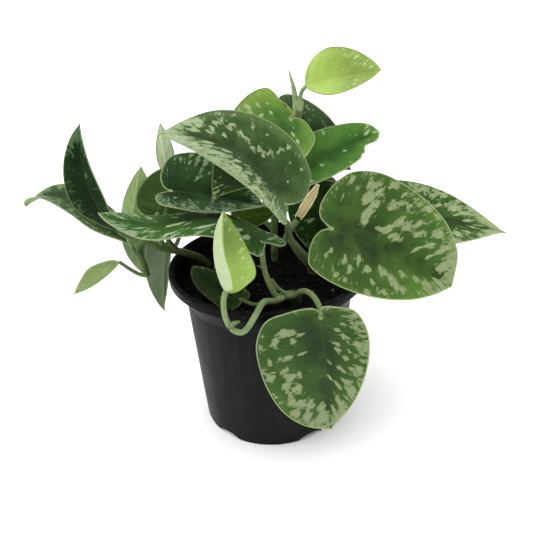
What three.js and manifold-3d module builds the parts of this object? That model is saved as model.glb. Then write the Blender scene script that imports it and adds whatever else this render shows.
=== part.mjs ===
// Satin pothos (Scindapsus pictus) in a black nursery pot.
// Millimetres, +Z up. The origin is on the pot's axis, in the plane of its flat underside.
// Every leaf blade, vine, dry sheath, the potting mix and the pot is a mesh of its own.

import * as THREE from 'three';
import { mergeVertices } from 'three/addons/utils/BufferGeometryUtils.js';
import Module from 'manifold-3d';

const wasm = await Module();
wasm.setup();

// ---------------------------------------------------------------- driving sizes

const POT = {
  height: 92, // floor to the top of the lip
  baseRadius: 38,
  bodyRadius: 44, // top of the plain taper
  bodyTop: 76,
  flareRadius: 49, // top of the flare under the lip
  flareTop: 85,
  lipRadius: 52,
  lipDrop: 5, // height of the lip's outer face
  wall: 1.4,
  floor: 2,
  lipRound: 1, // bevel on the lip's upper edge
  sides: 72,
};
// Shallow arched drain notches, cut through the corner where the wall meets the floor.
const NOTCH = { count: 5, width: 16, height: 3.2, depth: 8, turn: 13, sides: 32 };
const SOIL = { top: 81, gap: 0.35, relief: 1.6, rings: 11, sectors: 48 };
const BLADE = { thickness: 0.8, rows: 12, columns: 3, wave: 0.6 };
const STEM_HOLE = { radius: 3.2, bottom: 65.6, sides: 12 }; // a plain hole in the mix for each vine
const STALK_GAP = 0.4; // between a leaf stalk's end and its blade
const TUBE = { sides: 7, step: 5, least: 4 }; // faces round, mm between rings, and fewest rings

// ---------------------------------------------------------------- materials

const paint = (color, roughness) => new THREE.MeshStandardMaterial({ color, roughness, metalness: 0 });

const MATERIALS = {
  pot: paint(0x1d1f20, 0.5),
  soil: paint(0x1c1714, 0.95),
  green: paint(0x3f6b35, 0.45),
  deep: paint(0x2c4a31, 0.45),
  lime: paint(0xa3c35a, 0.5),
  olive: paint(0x8a9c63, 0.6),
  stalk: paint(0x9db07a, 0.5),
  dry: paint(0xd8c294, 0.8),
};

// ---------------------------------------------------------------- small helpers

const SAME_POINT = 1e-4; // mm under which two corners are one

const vec = ([x, y, z]) => new THREE.Vector3(x, y, z);
const rad = THREE.MathUtils.degToRad;

function solid(geometry) {
  const plain = geometry.index ? geometry.toNonIndexed() : geometry.clone();
  for (const name of Object.keys(plain.attributes)) {
    if (name !== 'position') plain.deleteAttribute(name);
  }
  const merged = mergeVertices(plain, SAME_POINT);
  return new wasm.Manifold(new wasm.Mesh({
    numProp: 3,
    vertProperties: Float32Array.from(merged.attributes.position.array),
    triVerts: Uint32Array.from(merged.index.array),
  }));
}

function surface(manifold) {
  const { vertProperties, triVerts, numProp } = manifold.getMesh();
  const positions = new Float32Array((vertProperties.length / numProp) * 3);
  for (let i = 0; i < positions.length / 3; i += 1) {
    positions.set(vertProperties.subarray(i * numProp, i * numProp + 3), i * 3);
  }
  const geometry = new THREE.BufferGeometry();
  geometry.setAttribute('position', new THREE.BufferAttribute(positions, 3));
  geometry.setIndex(new THREE.BufferAttribute(Uint32Array.from(triVerts), 1));
  geometry.computeVertexNormals();
  return geometry;
}

const fuse = (geometries) => surface(geometries.map(solid).reduce((a, b) => a.add(b)));

// ---------------------------------------------------------------- leaf blades

// One half of a heart-shaped margin, from the notch at the stalk, round the lobe, to the tip.
// First number: below 0 in lobe lengths behind the stalk, above 0 in blade lengths.
// Second number: in half widths, raised to the power "full" on the front part and "heel" behind.
const HEART = [
  [0, 0], [-0.7, 0.12], [-1, 0.34], [-0.82, 0.64], [-0.25, 0.88], [0.14, 0.99],
  [0.34, 0.97], [0.55, 0.82], [0.74, 0.56], [0.88, 0.27], [0.95, 0.1], [1, 0],
];
const OVATE = [
  [0, 0], [0.02, 0.14], [0.05, 0.3], [0.1, 0.52], [0.18, 0.76], [0.29, 0.94],
  [0.42, 1], [0.58, 0.9], [0.74, 0.64], [0.88, 0.31], [0.95, 0.12], [1, 0],
];
const FRONT_PART = 0.2; // where the front part of the margin begins
const FAN = 0.38; // share of the margin whose side veins start at the stalk, unless a blade's fan says
const VEIN_LEAN = 1.25; // how much the other side veins crowd towards the stalk
const WAVE = { count: 2.5, shift: 1.7 }; // waves on a half, and the right half's shift in radians
const STRAIGHT = 1e-3; // a bend under this many radians counts as none

function marginCurve(outline, length, lobe, halfWidth, full, heel) {
  return new THREE.SplineCurve(outline.map(([x, y]) => new THREE.Vector2(
    x < 0 ? x * lobe : x * length,
    halfWidth * y ** (x > FRONT_PART ? full : heel),
  )));
}

const veinStart = (u, fan) => (u <= fan ? 0 : ((u - fan) / (1 - fan)) ** VEIN_LEAN);

const sided = (value, side) => (Array.isArray(value) ? value[side] : value);

// A blade runs from base (its stalk's end) to tip. face is the way its upper side looks. A pair
// of values is for the halves to the left and the right of the midrib, seen from above with the
// tip ahead. wide is the half width in mm and lobe how far the margin runs back past the base.
// bend is how far the midrib turns from base to tip, away from the face, and fold how far a half
// is raised, in degrees. sweep bows the midrib to the left, sway bends it into an S, and wave is
// the height of the margin's waves, in mm. A bite is a piece missing from the margin.
function bladeFrame({ base, tip, face, bend = 0 }) {
  const chord = vec(tip).sub(vec(base));
  const along = chord.clone().normalize();
  const up = vec(face).addScaledVector(along, -vec(face).dot(along)).normalize();
  const half = rad(bend) / 2;
  const straight = Math.abs(half) < STRAIGHT;
  const length = straight ? chord.length() : (chord.length() * half) / Math.sin(half);
  return { along, up, left: new THREE.Vector3().crossVectors(up, along), half, length };
}

function bladePoint(blade, frame, x, y, side, u) {
  const { base, wide, fold = 0, sweep = 0, sway = 0, wave = BLADE.wave } = blade;
  const { along, up, left, half, length } = frame;
  const share = x / length;
  const reach = y / wide[side];
  const foldAngle = rad(sided(fold, side));
  const front = Math.max(share, 0);
  let across = y * Math.cos(foldAngle) * (side === 0 ? 1 : -1);
  across += 4 * sweep * front * (1 - front);
  let raise = y * Math.sin(foldAngle);
  raise += wave * reach * reach * Math.sin(2 * Math.PI * WAVE.count * u + side * WAVE.shift);
  raise += sway * Math.sin(2 * Math.PI * front);
  const turn = half * (1 - 2 * share);
  const straight = Math.abs(half) < STRAIGHT;
  const arc = straight ? 0 : length / (2 * half);
  const forward = straight ? x : arc * (Math.sin(half) - Math.sin(turn));
  const rise = straight ? 0 : arc * (Math.cos(turn) - Math.cos(half));
  return vec(base)
    .addScaledVector(along, forward - raise * Math.sin(turn))
    .addScaledVector(up, rise + raise * Math.cos(turn))
    .addScaledVector(left, across);
}

function bladeGeometry(blade) {
  const frame = bladeFrame(blade);
  const { outline = HEART, lobe = 0, full = 1, heel = 1, wide, bites = [] } = blade;
  const { rows = BLADE.rows, columns = BLADE.columns, fan = FAN } = blade;
  const points = [];
  const faces = [];
  const rims = [];
  const add = (point) => points.push(point) - 1;
  const baseId = add(vec(blade.base));
  const tipId = add(bladePoint(blade, frame, frame.length, 0, 0, 1));
  const ribIds = [];
  for (let i = 0; i <= rows; i += 1) {
    const start = veinStart(i / rows, fan) * frame.length;
    if (i === rows) ribIds.push(tipId);
    else ribIds.push(start === 0 ? baseId : add(bladePoint(blade, frame, start, 0, 0, i / rows)));
  }
  for (const side of [0, 1]) {
    const [ends, front, back] = [sided(lobe, side), sided(full, side), sided(heel, side)];
    const margin = marginCurve(outline, frame.length, ends, wide[side], front, back);
    const ids = [];
    for (let i = 0; i <= rows; i += 1) {
      const u = i / rows;
      const edge = margin.getPoint(u);
      const start = veinStart(u, fan) * frame.length;
      const bitten = bites.filter((bite) => bite.side === side)
        .reduce((keep, bite) => keep - bite.depth * Math.exp(-(((u - bite.at) / bite.span) ** 2)), 1);
      const row = [ribIds[i]];
      for (let j = 1; j <= columns; j += 1) {
        if (i === 0) row.push(baseId);
        else if (i === rows) row.push(tipId);
        else {
          const q = (j / columns) * bitten;
          const x = start + (edge.x - start) * q;
          row.push(add(bladePoint(blade, frame, x, Math.max(edge.y, 0) * q, side, u)));
        }
      }
      ids.push(row);
    }
    for (let i = 0; i < rows; i += 1) {
      for (let j = 0; j < columns; j += 1) {
        const [a, b, c, d] = [ids[i][j], ids[i + 1][j], ids[i + 1][j + 1], ids[i][j + 1]];
        const pair = side === 0 ? [[a, b, c], [a, c, d]] : [[a, c, b], [a, d, c]];
        for (const face of pair) if (new Set(face).size === 3) faces.push(face);
      }
      const [from, to] = [ids[i][columns], ids[i + 1][columns]];
      rims.push(side === 0 ? [to, from] : [from, to]);
    }
  }
  return thicken(points, faces, rims, BLADE.thickness);
}

// A sheet with the same triangles on both sides and a rim between them.
function thicken(points, faces, rims, thickness) {
  const normals = points.map(() => new THREE.Vector3());
  const [ab, ac] = [new THREE.Vector3(), new THREE.Vector3()];
  for (const [a, b, c] of faces) {
    ab.subVectors(points[b], points[a]);
    ac.subVectors(points[c], points[a]);
    const normal = new THREE.Vector3().crossVectors(ab, ac);
    for (const id of [a, b, c]) normals[id].add(normal);
  }
  const count = points.length;
  const positions = new Float32Array(count * 6);
  points.forEach((point, i) => {
    const normal = normals[i].normalize();
    point.clone().addScaledVector(normal, thickness / 2).toArray(positions, i * 3);
    point.clone().addScaledVector(normal, -thickness / 2).toArray(positions, (count + i) * 3);
  });
  const index = [];
  for (const [a, b, c] of faces) index.push(a, b, c, count + a, count + c, count + b);
  for (const [a, b] of rims) index.push(count + a, count + b, b, count + a, b, a);
  const geometry = new THREE.BufferGeometry();
  geometry.setAttribute('position', new THREE.BufferAttribute(positions, 3));
  geometry.setIndex(index);
  geometry.computeVertexNormals();
  return geometry;
}

const LEAVES = [
  { name: 'leaf_top_lime', material: 'lime', base: [21, 5, 181], tip: [55, -2, 189],
    face: [0, -0.8, 0.6], outline: OVATE, wide: [14.5, 8], full: 0.75, heel: [0.6, 1.1], bend: 15,
    fold: 10, rows: 10 },
  { name: 'leaf_top_chewed', material: 'green', base: [14, 12, 164], tip: [-26, -12, 131],
    face: [0.3, -0.85, 0.4], wide: [18, 23.5], lobe: [4.5, 4], full: [2, 1], heel: [1, 1.7], bend: 15,
    fold: 6, bites: [{ side: 1, at: 0.2, depth: 0.1, span: 0.08 }] },
  { name: 'leaf_centre_silver', material: 'deep', base: [9, -30, 136], tip: [-46, -26, 170],
    face: [0.45, -0.4, 0.8], wide: [22, 27], lobe: [1.5, 8], full: [1, 0.95], heel: [3.2, 0.6],
    bend: 60, fold: 14, sweep: -5 },
  { name: 'leaf_right_bitten', material: 'green', base: [18, 17, 136], tip: [59, 17, 154],
    face: [-0.3, -0.8, 0.5], wide: [14, 11.5], lobe: 4, full: 0.5, bend: 15, fold: 6,
    bites: [{ side: 1, at: 0.82, depth: 0.35, span: 0.06 }] },
  { name: 'leaf_right_heart', material: 'green', base: [32, -14, 116], tip: [90, -27, 88],
    face: [0, -0.8, 0.6], wide: [35, 25], lobe: [10, 6], full: [0.42, 0.8], heel: [1.25, 1],
    bend: 20, fold: 4, rows: 16, columns: 4 },
  { name: 'leaf_right_silver', material: 'deep', base: [58, 15, 111], tip: [128, 10, 98],
    face: [0, -0.6, 0.8], wide: [20, 19], lobe: 8, full: 1.3, bend: 20, fold: 6 },
  { name: 'leaf_front_heart', material: 'green', base: [23, -55, 91], tip: [28, -60, 29],
    face: [0, -1, 0.1], wide: [21, 31], lobe: 5, full: [1, 0.55], heel: [2.1, 1.6], bend: 15,
    fold: 4, rows: 16, columns: 4 },
  { name: 'leaf_front_young', material: 'lime', base: [-19, -56, 107], tip: [-18, -48, 142],
    face: [0.9, -0.35, 0.2], wide: [17, 17], lobe: [0.5, 3], full: [0.9, 0.8], bend: -60, fold: 45,
    rows: 10 },
  { name: 'leaf_front_long', material: 'deep', base: [-2.4, -22, 114], tip: [-80, -16, 130],
    face: [0.1, 0.15, 1], wide: [17, 25], lobe: [2, 12], full: 0.6, heel: [2.2, 1], bend: 15,
    fold: [-12, 0], sway: 4, bites: [{ side: 1, at: 0.5, depth: 0.35, span: 0.14 }] },
  { name: 'leaf_left_dark', material: 'deep', base: [-48, 8, 130], tip: [-1, 9, 119.5],
    face: [0, -0.3, 0.95], wide: [24, 26], lobe: 6, full: [0.8, 1], bend: 10, fold: 22 },
  { name: 'leaf_left_olive', material: 'olive', base: [-60, 31, 108], tip: [-47, 34, 135],
    face: [0.2, 0.9, 0], wide: [17, 15], lobe: 4, bend: 10, fold: 4, full: 0.8, rows: 10 },
  { name: 'leaf_left_pale', material: 'olive', base: [-77, 38, 100], tip: [-67, 38, 134],
    face: [0.2, 0.9, 0], wide: [12, 7], lobe: 3, bend: 10, fold: 4, rows: 10 },
  { name: 'leaf_left_small', material: 'olive', base: [-54, 44, 124], tip: [-55, 44, 156],
    face: [-0.2, 0.9, 0], outline: OVATE, wide: [5.5, 4.5], bend: 10, fold: 4, rows: 10 },
  { name: 'leaf_left_upright', material: 'deep', base: [-77, 7, 110], tip: [-88, 7, 167],
    face: [-0.4, -0.9, 0.25], outline: OVATE, wide: [13, 7], full: [0.7, 1.1], heel: 1.1, bend: 60,
    fold: 8, sweep: 2, fan: 0.1 },
  { name: 'leaf_left_drooping', material: 'deep', base: [-72.5, 13, 97], tip: [-135, 40, 112],
    face: [0.3, 0, 0.95], outline: OVATE, wide: [17, 11], full: 0.6, heel: [2, 2.2], bend: 76,
    fold: [12, 32], sway: -3, fan: 0.1 },
  { name: 'leaf_left_low', material: 'olive', base: [-79, 6, 92], tip: [-108, 10, 71.5],
    face: [-0.4, 0.6, 0.7], outline: OVATE, wide: [9.5, 5], heel: 0.6, bend: -30, fold: 35, rows: 10 },
  { name: 'leaf_left_hanging', material: 'olive', base: [-54, 14, 98], tip: [-59, 11, 57.5],
    face: [0.4, 0.8, 0], wide: [12.5, 3], lobe: 1, full: [0.7, 1.2], bend: 20,
    fold: [-10, 20], sweep: 2, rows: 10 },
  { name: 'leaf_left_cluster', material: 'olive', base: [-70, 22, 101.5], tip: [-69, 22, 73.5],
    face: [0, 0.9, 0.2], wide: [11, 10], lobe: 2, bend: 20, fold: 10, rows: 10 },
  { name: 'leaf_in_pot', material: 'green', base: [-14, -28, 86], tip: [-40, 3, 89],
    face: [-0.1, -0.3, 0.95], wide: [11, 6], lobe: 3, bend: 10, fold: 4, full: 0.7, rows: 10 },
  { name: 'leaf_back_tall', material: 'deep', base: [15, 31, 158], tip: [47, 32, 129],
    face: [0.1, -0.95, 0.2], wide: [14, 14], lobe: 12, bend: 20, fold: 6 },
  { name: 'leaf_back_hanging', material: 'deep', base: [36, 18, 126], tip: [24, 16, 88],
    face: [0.1, -0.9, 0.4], wide: [15, 22], lobe: [5, 2], heel: [1, 2.5], bend: 20, fold: 6 },
  { name: 'leaf_back_left', material: 'deep', base: [-16, 34, 118], tip: [-46, 64, 102],
    face: [-0.4, 0.2, 0.9], wide: [18, 19], lobe: 6, bend: 30, fold: 8 },
  { name: 'leaf_back_right', material: 'green', base: [28, 39, 120], tip: [62, 69, 94],
    face: [0.4, 0.2, 0.9], wide: [20, 19], lobe: 7, bend: 30, fold: 8 },
  { name: 'leaf_back_low', material: 'deep', base: [5, 44, 106], tip: [4, 84, 78],
    face: [0, 0.6, 0.8], wide: [19, 20], lobe: 6, bend: 35, fold: 8 },
  { name: 'leaf_inner_olive', material: 'olive', base: [-15, 14, 111], tip: [6, 14, 114],
    face: [0, 0.9, 0.3], wide: [9, 9], lobe: 3, bend: 10, fold: 4, rows: 10 },
];

const leafNamed = (name) => LEAVES.find((leaf) => leaf.name === name);

// ---------------------------------------------------------------- stems and stalks

// A tube with closed ends along a smooth curve. Its radius goes through the given values.
function tube(points, radii) {
  const { sides } = TUBE;
  const curve = new THREE.CatmullRomCurve3(points, false, 'centripetal');
  const segments = Math.max(TUBE.least, Math.round(curve.getLength() / TUBE.step));
  const frames = curve.computeFrenetFrames(segments, false);
  const rings = [];
  const positions = [];
  for (let i = 0; i <= segments; i += 1) {
    const share = (i / segments) * (radii.length - 1);
    const low = Math.min(Math.floor(share), radii.length - 2);
    const radius = THREE.MathUtils.lerp(radii[low], radii[low + 1], share - low);
    const centre = curve.getPointAt(i / segments);
    rings.push(positions.length / 3);
    for (let k = 0; k < sides; k += 1) {
      const angle = (2 * Math.PI * k) / sides;
      const point = centre.clone()
        .addScaledVector(frames.normals[i], radius * Math.cos(angle))
        .addScaledVector(frames.binormals[i], radius * Math.sin(angle));
      positions.push(point.x, point.y, point.z);
    }
  }
  const start = positions.length / 3;
  const first = curve.getPoint(0);
  const last = curve.getPoint(1);
  positions.push(first.x, first.y, first.z, last.x, last.y, last.z);
  const index = [];
  for (let k = 0; k < sides; k += 1) {
    const next = (k + 1) % sides;
    for (let i = 0; i < segments; i += 1) {
      const [a, b, c, d] = [rings[i] + k, rings[i] + next, rings[i + 1] + next, rings[i + 1] + k];
      index.push(a, b, c, a, c, d);
    }
    index.push(start, rings[0] + next, rings[0] + k);
    index.push(start + 1, rings[segments] + k, rings[segments] + next);
  }
  const geometry = new THREE.BufferGeometry();
  geometry.setAttribute('position', new THREE.BufferAttribute(new Float32Array(positions), 3));
  geometry.setIndex(index);
  return geometry;
}

// The last point of a stalk: just under its blade's base, clear of the blade by STALK_GAP.
function stalkEnd(blade, from, radius) {
  const { along, up, half } = bladeFrame(blade);
  const normal = up.multiplyScalar(Math.cos(half)).addScaledVector(along, -Math.sin(half));
  const direction = vec(blade.base).sub(vec(from)).normalize();
  const lean = Math.sqrt(Math.max(0, 1 - direction.dot(normal) ** 2));
  return vec(blade.base).addScaledVector(normal, -(BLADE.thickness / 2 + STALK_GAP + radius * lean));
}

function stalk({ leaf, points, radii = [1.6, 1.3] }) {
  const route = points.map(vec);
  if (leaf) route.push(stalkEnd(leafNamed(leaf), points.at(-1), radii.at(-1)));
  return tube(route, radii);
}

const VINES = [
  {
    name: 'vine_front',
    root: [14, -23],
    parts: [
      { points: [[14, -23, 66], [14, -23, 81], [12.5, -24.5, 85.5], [7, -27, 86.5]],
        radii: [2, 2, 2.6, 2] },
      { leaf: 'leaf_front_long',
        points: [[8, -27, 86], [4, -26, 86], [1.6, -26, 90], [0, -25, 94], [-1.5, -24, 99],
          [-2.3, -23, 105]] },
      { points: [[11, -26, 86], [5.5, -25, 89], [1.5, -25, 95]], radii: [1.1, 0.9] },
      { leaf: 'leaf_front_young',
        points: [[7, -28, 86], [3, -34, 88], [0, -40, 91.5], [-3, -48, 95.5], [-7, -56, 93],
          [-10.5, -60, 89.5], [-13, -62, 89], [-17, -62, 91], [-19, -61, 94.5],
          [-20, -60, 98.5], [-20, -58, 104]] },
      { points: [[-18, -62, 92], [-16, -63, 94.5], [-13, -63, 95.5]], radii: [1.2, 1.3, 0.4] },
      { leaf: 'leaf_front_heart',
        points: [[9, -27, 86], [13, -31, 89], [15, -35, 93], [18, -41, 96.5], [21, -48, 97],
          [23, -53, 94]] },
      { leaf: 'leaf_in_pot',
        points: [[7, -28, 86.3], [0, -31, 85.5], [-7, -31, 84.6]], radii: [1.2, 1] },
    ],
  },
  {
    name: 'vine_right',
    root: [24, 5],
    parts: [
      { points: [[24, 5, 66], [24, 5, 82], [22.5, 3.6, 87.5], [17, -1, 97], [12, -4, 106]],
        radii: [2.2, 2.4, 2.9, 2.6, 1.9] },
      { leaf: 'leaf_centre_silver',
        points: [[13, -3, 104], [11, -6, 111], [10.5, -14, 119], [8.5, -26, 128]],
        radii: [1.7, 1.3] },
      { leaf: 'leaf_right_heart', points: [[21, 2, 89], [26, 0, 97], [31, -4, 106], [32, -9, 113]] },
      { leaf: 'leaf_right_silver', points: [[23, 4, 85], [36, 9, 92], [48, 12, 101], [55, 14, 107]] },
    ],
  },
  {
    name: 'vine_centre',
    root: [4, 22],
    parts: [
      { points: [[4, 22, 66], [4, 22, 80.5], [4, 21, 92], [4.3, 20, 103], [5, 20, 118], [6, 20, 132],
        [9, 19, 146], [14, 18, 156], [17.7, 16, 164], [19, 14, 172]],
      radii: [2, 2, 1.9, 1.8, 1.9, 1.9] },
      { leaf: 'leaf_top_lime',
        points: [[18.8, 14, 169], [19, 13, 174], [19.5, 9, 178]], radii: [1.2, 1] },
      { points: [[16.3, 17, 159], [17, 16, 169], [15.9, 15, 178], [13.5, 14, 187.4]],
        radii: [1.4, 1.7, 1.2, 0.3] },
      { leaf: 'leaf_top_chewed', points: [[13, 18.5, 154], [14, 17, 160]], radii: [1.4, 1.2] },
      { leaf: 'leaf_right_bitten',
        points: [[5.5, 20, 124], [10, 21, 128], [16, 20, 133]], radii: [1.4, 1.2] },
      { leaf: 'leaf_back_tall',
        points: [[6.5, 20, 133], [9, 28, 136], [14, 36, 147]], radii: [1.4, 1.2] },
      { leaf: 'leaf_back_hanging',
        points: [[4.5, 20, 105], [14, 23, 114], [28, 24, 124], [36, 22, 128]],
        radii: [1.4, 1.2] },
      { leaf: 'leaf_back_left',
        points: [[4.2, 20.5, 100], [-4, 25, 108], [-12, 31, 113]], radii: [1.4, 1.2] },
      { leaf: 'leaf_back_right',
        points: [[4.6, 20, 110], [12, 28, 112], [22, 36, 116]], radii: [1.4, 1.2] },
      { leaf: 'leaf_back_low', points: [[4, 21, 86], [4.5, 29, 93], [5, 38, 101]], radii: [1.4, 1.2] },
      { leaf: 'leaf_inner_olive',
        points: [[4, 20.7, 95], [-6, 15, 98], [-13, 10, 102], [-16, 11, 108]], radii: [1.2, 1] },
      { points: [[4, 21, 88], [6, 13, 95], [8.4, 6, 99], [12, 1, 109], [16, 2, 114]],
        radii: [1.3, 1.5, 1.6, 1.8] },
    ],
  },
  {
    name: 'vine_left',
    root: [-33, 19],
    parts: [
      { points: [[-33, 19, 66], [-33, 19, 80.5], [-37, 16, 87.5], [-43, 13, 92], [-47, 11, 94.5],
        [-52, 10, 96], [-58, 9, 98], [-64, 9, 102], [-68, 8, 98], [-66, 6, 90], [-65, 6, 83]],
      radii: [2, 2, 1.8, 1.6] },
      { leaf: 'leaf_left_dark',
        points: [[-48, 11, 95], [-52, 9, 102], [-53, 7, 112], [-51, 6, 120], [-49, 6, 126]],
        radii: [1.5, 1.1] },
      { leaf: 'leaf_left_olive',
        points: [[-56, 9, 98], [-56.5, 18, 104], [-59, 27, 105]], radii: [1.4, 1.1] },
      { leaf: 'leaf_left_small',
        points: [[-50, 10, 96], [-48, 26, 98], [-50, 40, 103], [-54, 44, 117]], radii: [1.3, 1] },
      { leaf: 'leaf_left_pale',
        points: [[-62, 9, 100], [-64, 14, 107], [-70, 24, 109], [-76, 35, 103]], radii: [1.3, 1] },
      { leaf: 'leaf_left_upright',
        points: [[-65, 9, 101], [-71, 10, 104], [-76, 9, 107]], radii: [1.5, 1.2] },
      { leaf: 'leaf_left_drooping',
        points: [[-67, 8, 96], [-69.5, 10, 93]], radii: [1.4, 1.1] },
      { leaf: 'leaf_left_low', points: [[-65, 6, 83], [-69, 6, 84], [-74, 6, 87.5]], radii: [1.2, 1] },
      { leaf: 'leaf_left_hanging', points: [[-56, 9.4, 96.6], [-55, 11, 98.2]], radii: [1.4, 1.1] },
      { leaf: 'leaf_left_cluster',
        points: [[-64, 9, 102], [-67, 13, 103.5], [-69, 17.5, 103.5]], radii: [1.3, 1] },
    ],
  },
];

const vineGeometry = (vine) => fuse(vine.parts.map(stalk));

// ---------------------------------------------------------------- the dry sheath

function drySheath() {
  const points = [[16.5, 1.5, 115.3], [19, 1, 120], [23.2, 3, 126], [27, 5, 132]];
  return tube(points.map(vec), [2, 2.6, 2.4, 1.2]);
}

// ---------------------------------------------------------------- pot

// A round solid about Z from a profile of radii and heights that starts and ends on the axis.
function turned(profile) {
  const points = profile.map(([radius, z]) => new THREE.Vector2(radius, z));
  return new THREE.LatheGeometry(points, POT.sides).rotateX(Math.PI / 2);
}

// Outer radius of the pot's plain body at a height.
const bodyRadius = (z) => THREE.MathUtils.mapLinear(z, 0, POT.bodyTop, POT.baseRadius, POT.bodyRadius);

function potGeometry() {
  const { height, wall, floor, lipRadius, lipRound, flareRadius, flareTop } = POT;
  const inside = (z) => bodyRadius(z) - wall;
  const lipBottom = height - POT.lipDrop;
  const profile = [
    [0, 0],
    [POT.baseRadius, 0],
    [POT.bodyRadius, POT.bodyTop],
    [flareRadius, flareTop],
    [flareRadius, lipBottom],
    [lipRadius, lipBottom],
    [lipRadius, height - lipRound],
    [lipRadius - lipRound, height],
    [lipRadius - 2 * lipRound, height],
    [flareRadius - wall, lipBottom],
    [flareRadius - wall, flareTop],
    [inside(POT.bodyTop), POT.bodyTop],
    [inside(floor), floor],
    [0, floor],
  ];
  let body = solid(turned(profile));
  const arch = (NOTCH.width ** 2 / 4 + NOTCH.height ** 2) / (2 * NOTCH.height); // the arch's radius
  for (let i = 0; i < NOTCH.count; i += 1) {
    const turn = rad(NOTCH.turn + (360 / NOTCH.count) * i);
    const cutter = new THREE.CylinderGeometry(arch, arch, NOTCH.depth * 2, NOTCH.sides);
    cutter.rotateZ(Math.PI / 2).translate(POT.baseRadius, 0, NOTCH.height - arch).rotateZ(turn);
    body = body.subtract(solid(cutter));
  }
  return surface(body);
}

// ---------------------------------------------------------------- potting mix

const lumps = (x, y) => SOIL.relief * (
  0.5 * Math.sin(x * 0.31 + 1.3) * Math.cos(y * 0.27)
  + 0.3 * Math.sin(x * 0.63 + y * 0.41)
  + 0.2 * Math.cos(y * 0.9 - x * 0.5));

function soilGeometry() {
  const { top, gap, rings, sectors } = SOIL;
  const bottom = POT.floor + gap;
  const edge = (z) => bodyRadius(z) - POT.wall - gap;
  const flare = POT.flareRadius - POT.wall - gap;
  const outer = THREE.MathUtils.mapLinear(top, POT.bodyTop, POT.flareTop, edge(POT.bodyTop), flare);
  const positions = [0, 0, top + lumps(0, 0)];
  for (let i = 1; i <= rings; i += 1) {
    const radius = (outer * i) / rings;
    for (let k = 0; k < sectors; k += 1) {
      const angle = (2 * Math.PI * k) / sectors;
      const [x, y] = [radius * Math.cos(angle), radius * Math.sin(angle)];
      positions.push(x, y, i === rings ? top : top + lumps(x, y));
    }
  }
  for (const z of [POT.bodyTop, bottom]) {
    for (let k = 0; k < sectors; k += 1) {
      const angle = (2 * Math.PI * k) / sectors;
      positions.push(edge(z) * Math.cos(angle), edge(z) * Math.sin(angle), z);
    }
  }
  const middle = positions.length / 3;
  positions.push(0, 0, bottom);
  const index = [];
  const at = (ringNumber, k) => 1 + (ringNumber - 1) * sectors + (k % sectors);
  for (let k = 0; k < sectors; k += 1) {
    index.push(0, at(1, k), at(1, k + 1));
    for (let i = 1; i < rings + 2; i += 1) {
      index.push(at(i, k), at(i + 1, k), at(i + 1, k + 1), at(i, k), at(i + 1, k + 1), at(i, k + 1));
    }
    index.push(middle, at(rings + 2, k + 1), at(rings + 2, k));
  }
  const geometry = new THREE.BufferGeometry();
  geometry.setAttribute('position', new THREE.BufferAttribute(new Float32Array(positions), 3));
  geometry.setIndex(index);
  let mix = solid(geometry);
  const holeHeight = 2 * (top - STEM_HOLE.bottom);
  for (const { root } of VINES) {
    const { radius, sides } = STEM_HOLE;
    const hole = new THREE.CylinderGeometry(radius, radius, holeHeight, sides);
    hole.rotateX(Math.PI / 2).translate(root[0], root[1], STEM_HOLE.bottom + holeHeight / 2);
    mix = mix.subtract(solid(hole));
  }
  return surface(mix);
}

// ---------------------------------------------------------------- the whole plant

const plant = new THREE.Group();

function add(name, geometry, material) {
  const mesh = new THREE.Mesh(geometry, MATERIALS[material]);
  mesh.name = name;
  plant.add(mesh);
}

add('pot', potGeometry(), 'pot');
add('soil', soilGeometry(), 'soil');
for (const vine of VINES) add(vine.name, vineGeometry(vine), 'stalk');
add('dry_sheath', drySheath(), 'dry');
for (const leaf of LEAVES) add(leaf.name, bladeGeometry(leaf), leaf.material);

export default plant;
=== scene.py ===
# Satin pothos (Scindapsus pictus) in a black nursery pot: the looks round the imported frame.
# Lengths are millimetres until a mesh is made. Colours are written as sRGB hex.

import math
import random

import bpy
import numpy as np
from mathutils import Matrix, Vector, kdtree


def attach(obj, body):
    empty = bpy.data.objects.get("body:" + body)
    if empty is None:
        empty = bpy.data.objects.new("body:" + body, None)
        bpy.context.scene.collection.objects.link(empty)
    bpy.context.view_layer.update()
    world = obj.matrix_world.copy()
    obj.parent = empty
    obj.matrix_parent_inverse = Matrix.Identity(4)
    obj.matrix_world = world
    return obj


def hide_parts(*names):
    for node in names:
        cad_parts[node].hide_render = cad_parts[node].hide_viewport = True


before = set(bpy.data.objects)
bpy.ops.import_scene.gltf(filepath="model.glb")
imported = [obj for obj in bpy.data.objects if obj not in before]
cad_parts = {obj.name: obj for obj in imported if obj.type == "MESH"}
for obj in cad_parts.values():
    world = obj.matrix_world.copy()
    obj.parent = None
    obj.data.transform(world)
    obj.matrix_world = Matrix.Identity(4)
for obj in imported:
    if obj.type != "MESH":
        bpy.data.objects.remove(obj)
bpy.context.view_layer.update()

MM = 0.001

# ---------------------------------------------------------------- sizes shared with the solids

POT = {
    "height": 92,
    "base_radius": 38,
    "body_radius": 44,
    "body_top": 76,
    "flare_radius": 49,
    "flare_top": 85,
    "lip_radius": 52,
    "lip_drop": 5,
    "wall": 1.4,
    "floor": 2,
}
# Arched notches. turn is where the first one lies, in degrees.
NOTCH = {"count": 5, "width": 16, "height": 3.2, "depth": 8, "turn": 13, "sides": 64}
SOIL = {"top": 81, "gap": 0.35, "relief": 1.6}
BLADE = {"thickness": 0.8, "wave": 0.6}

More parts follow.
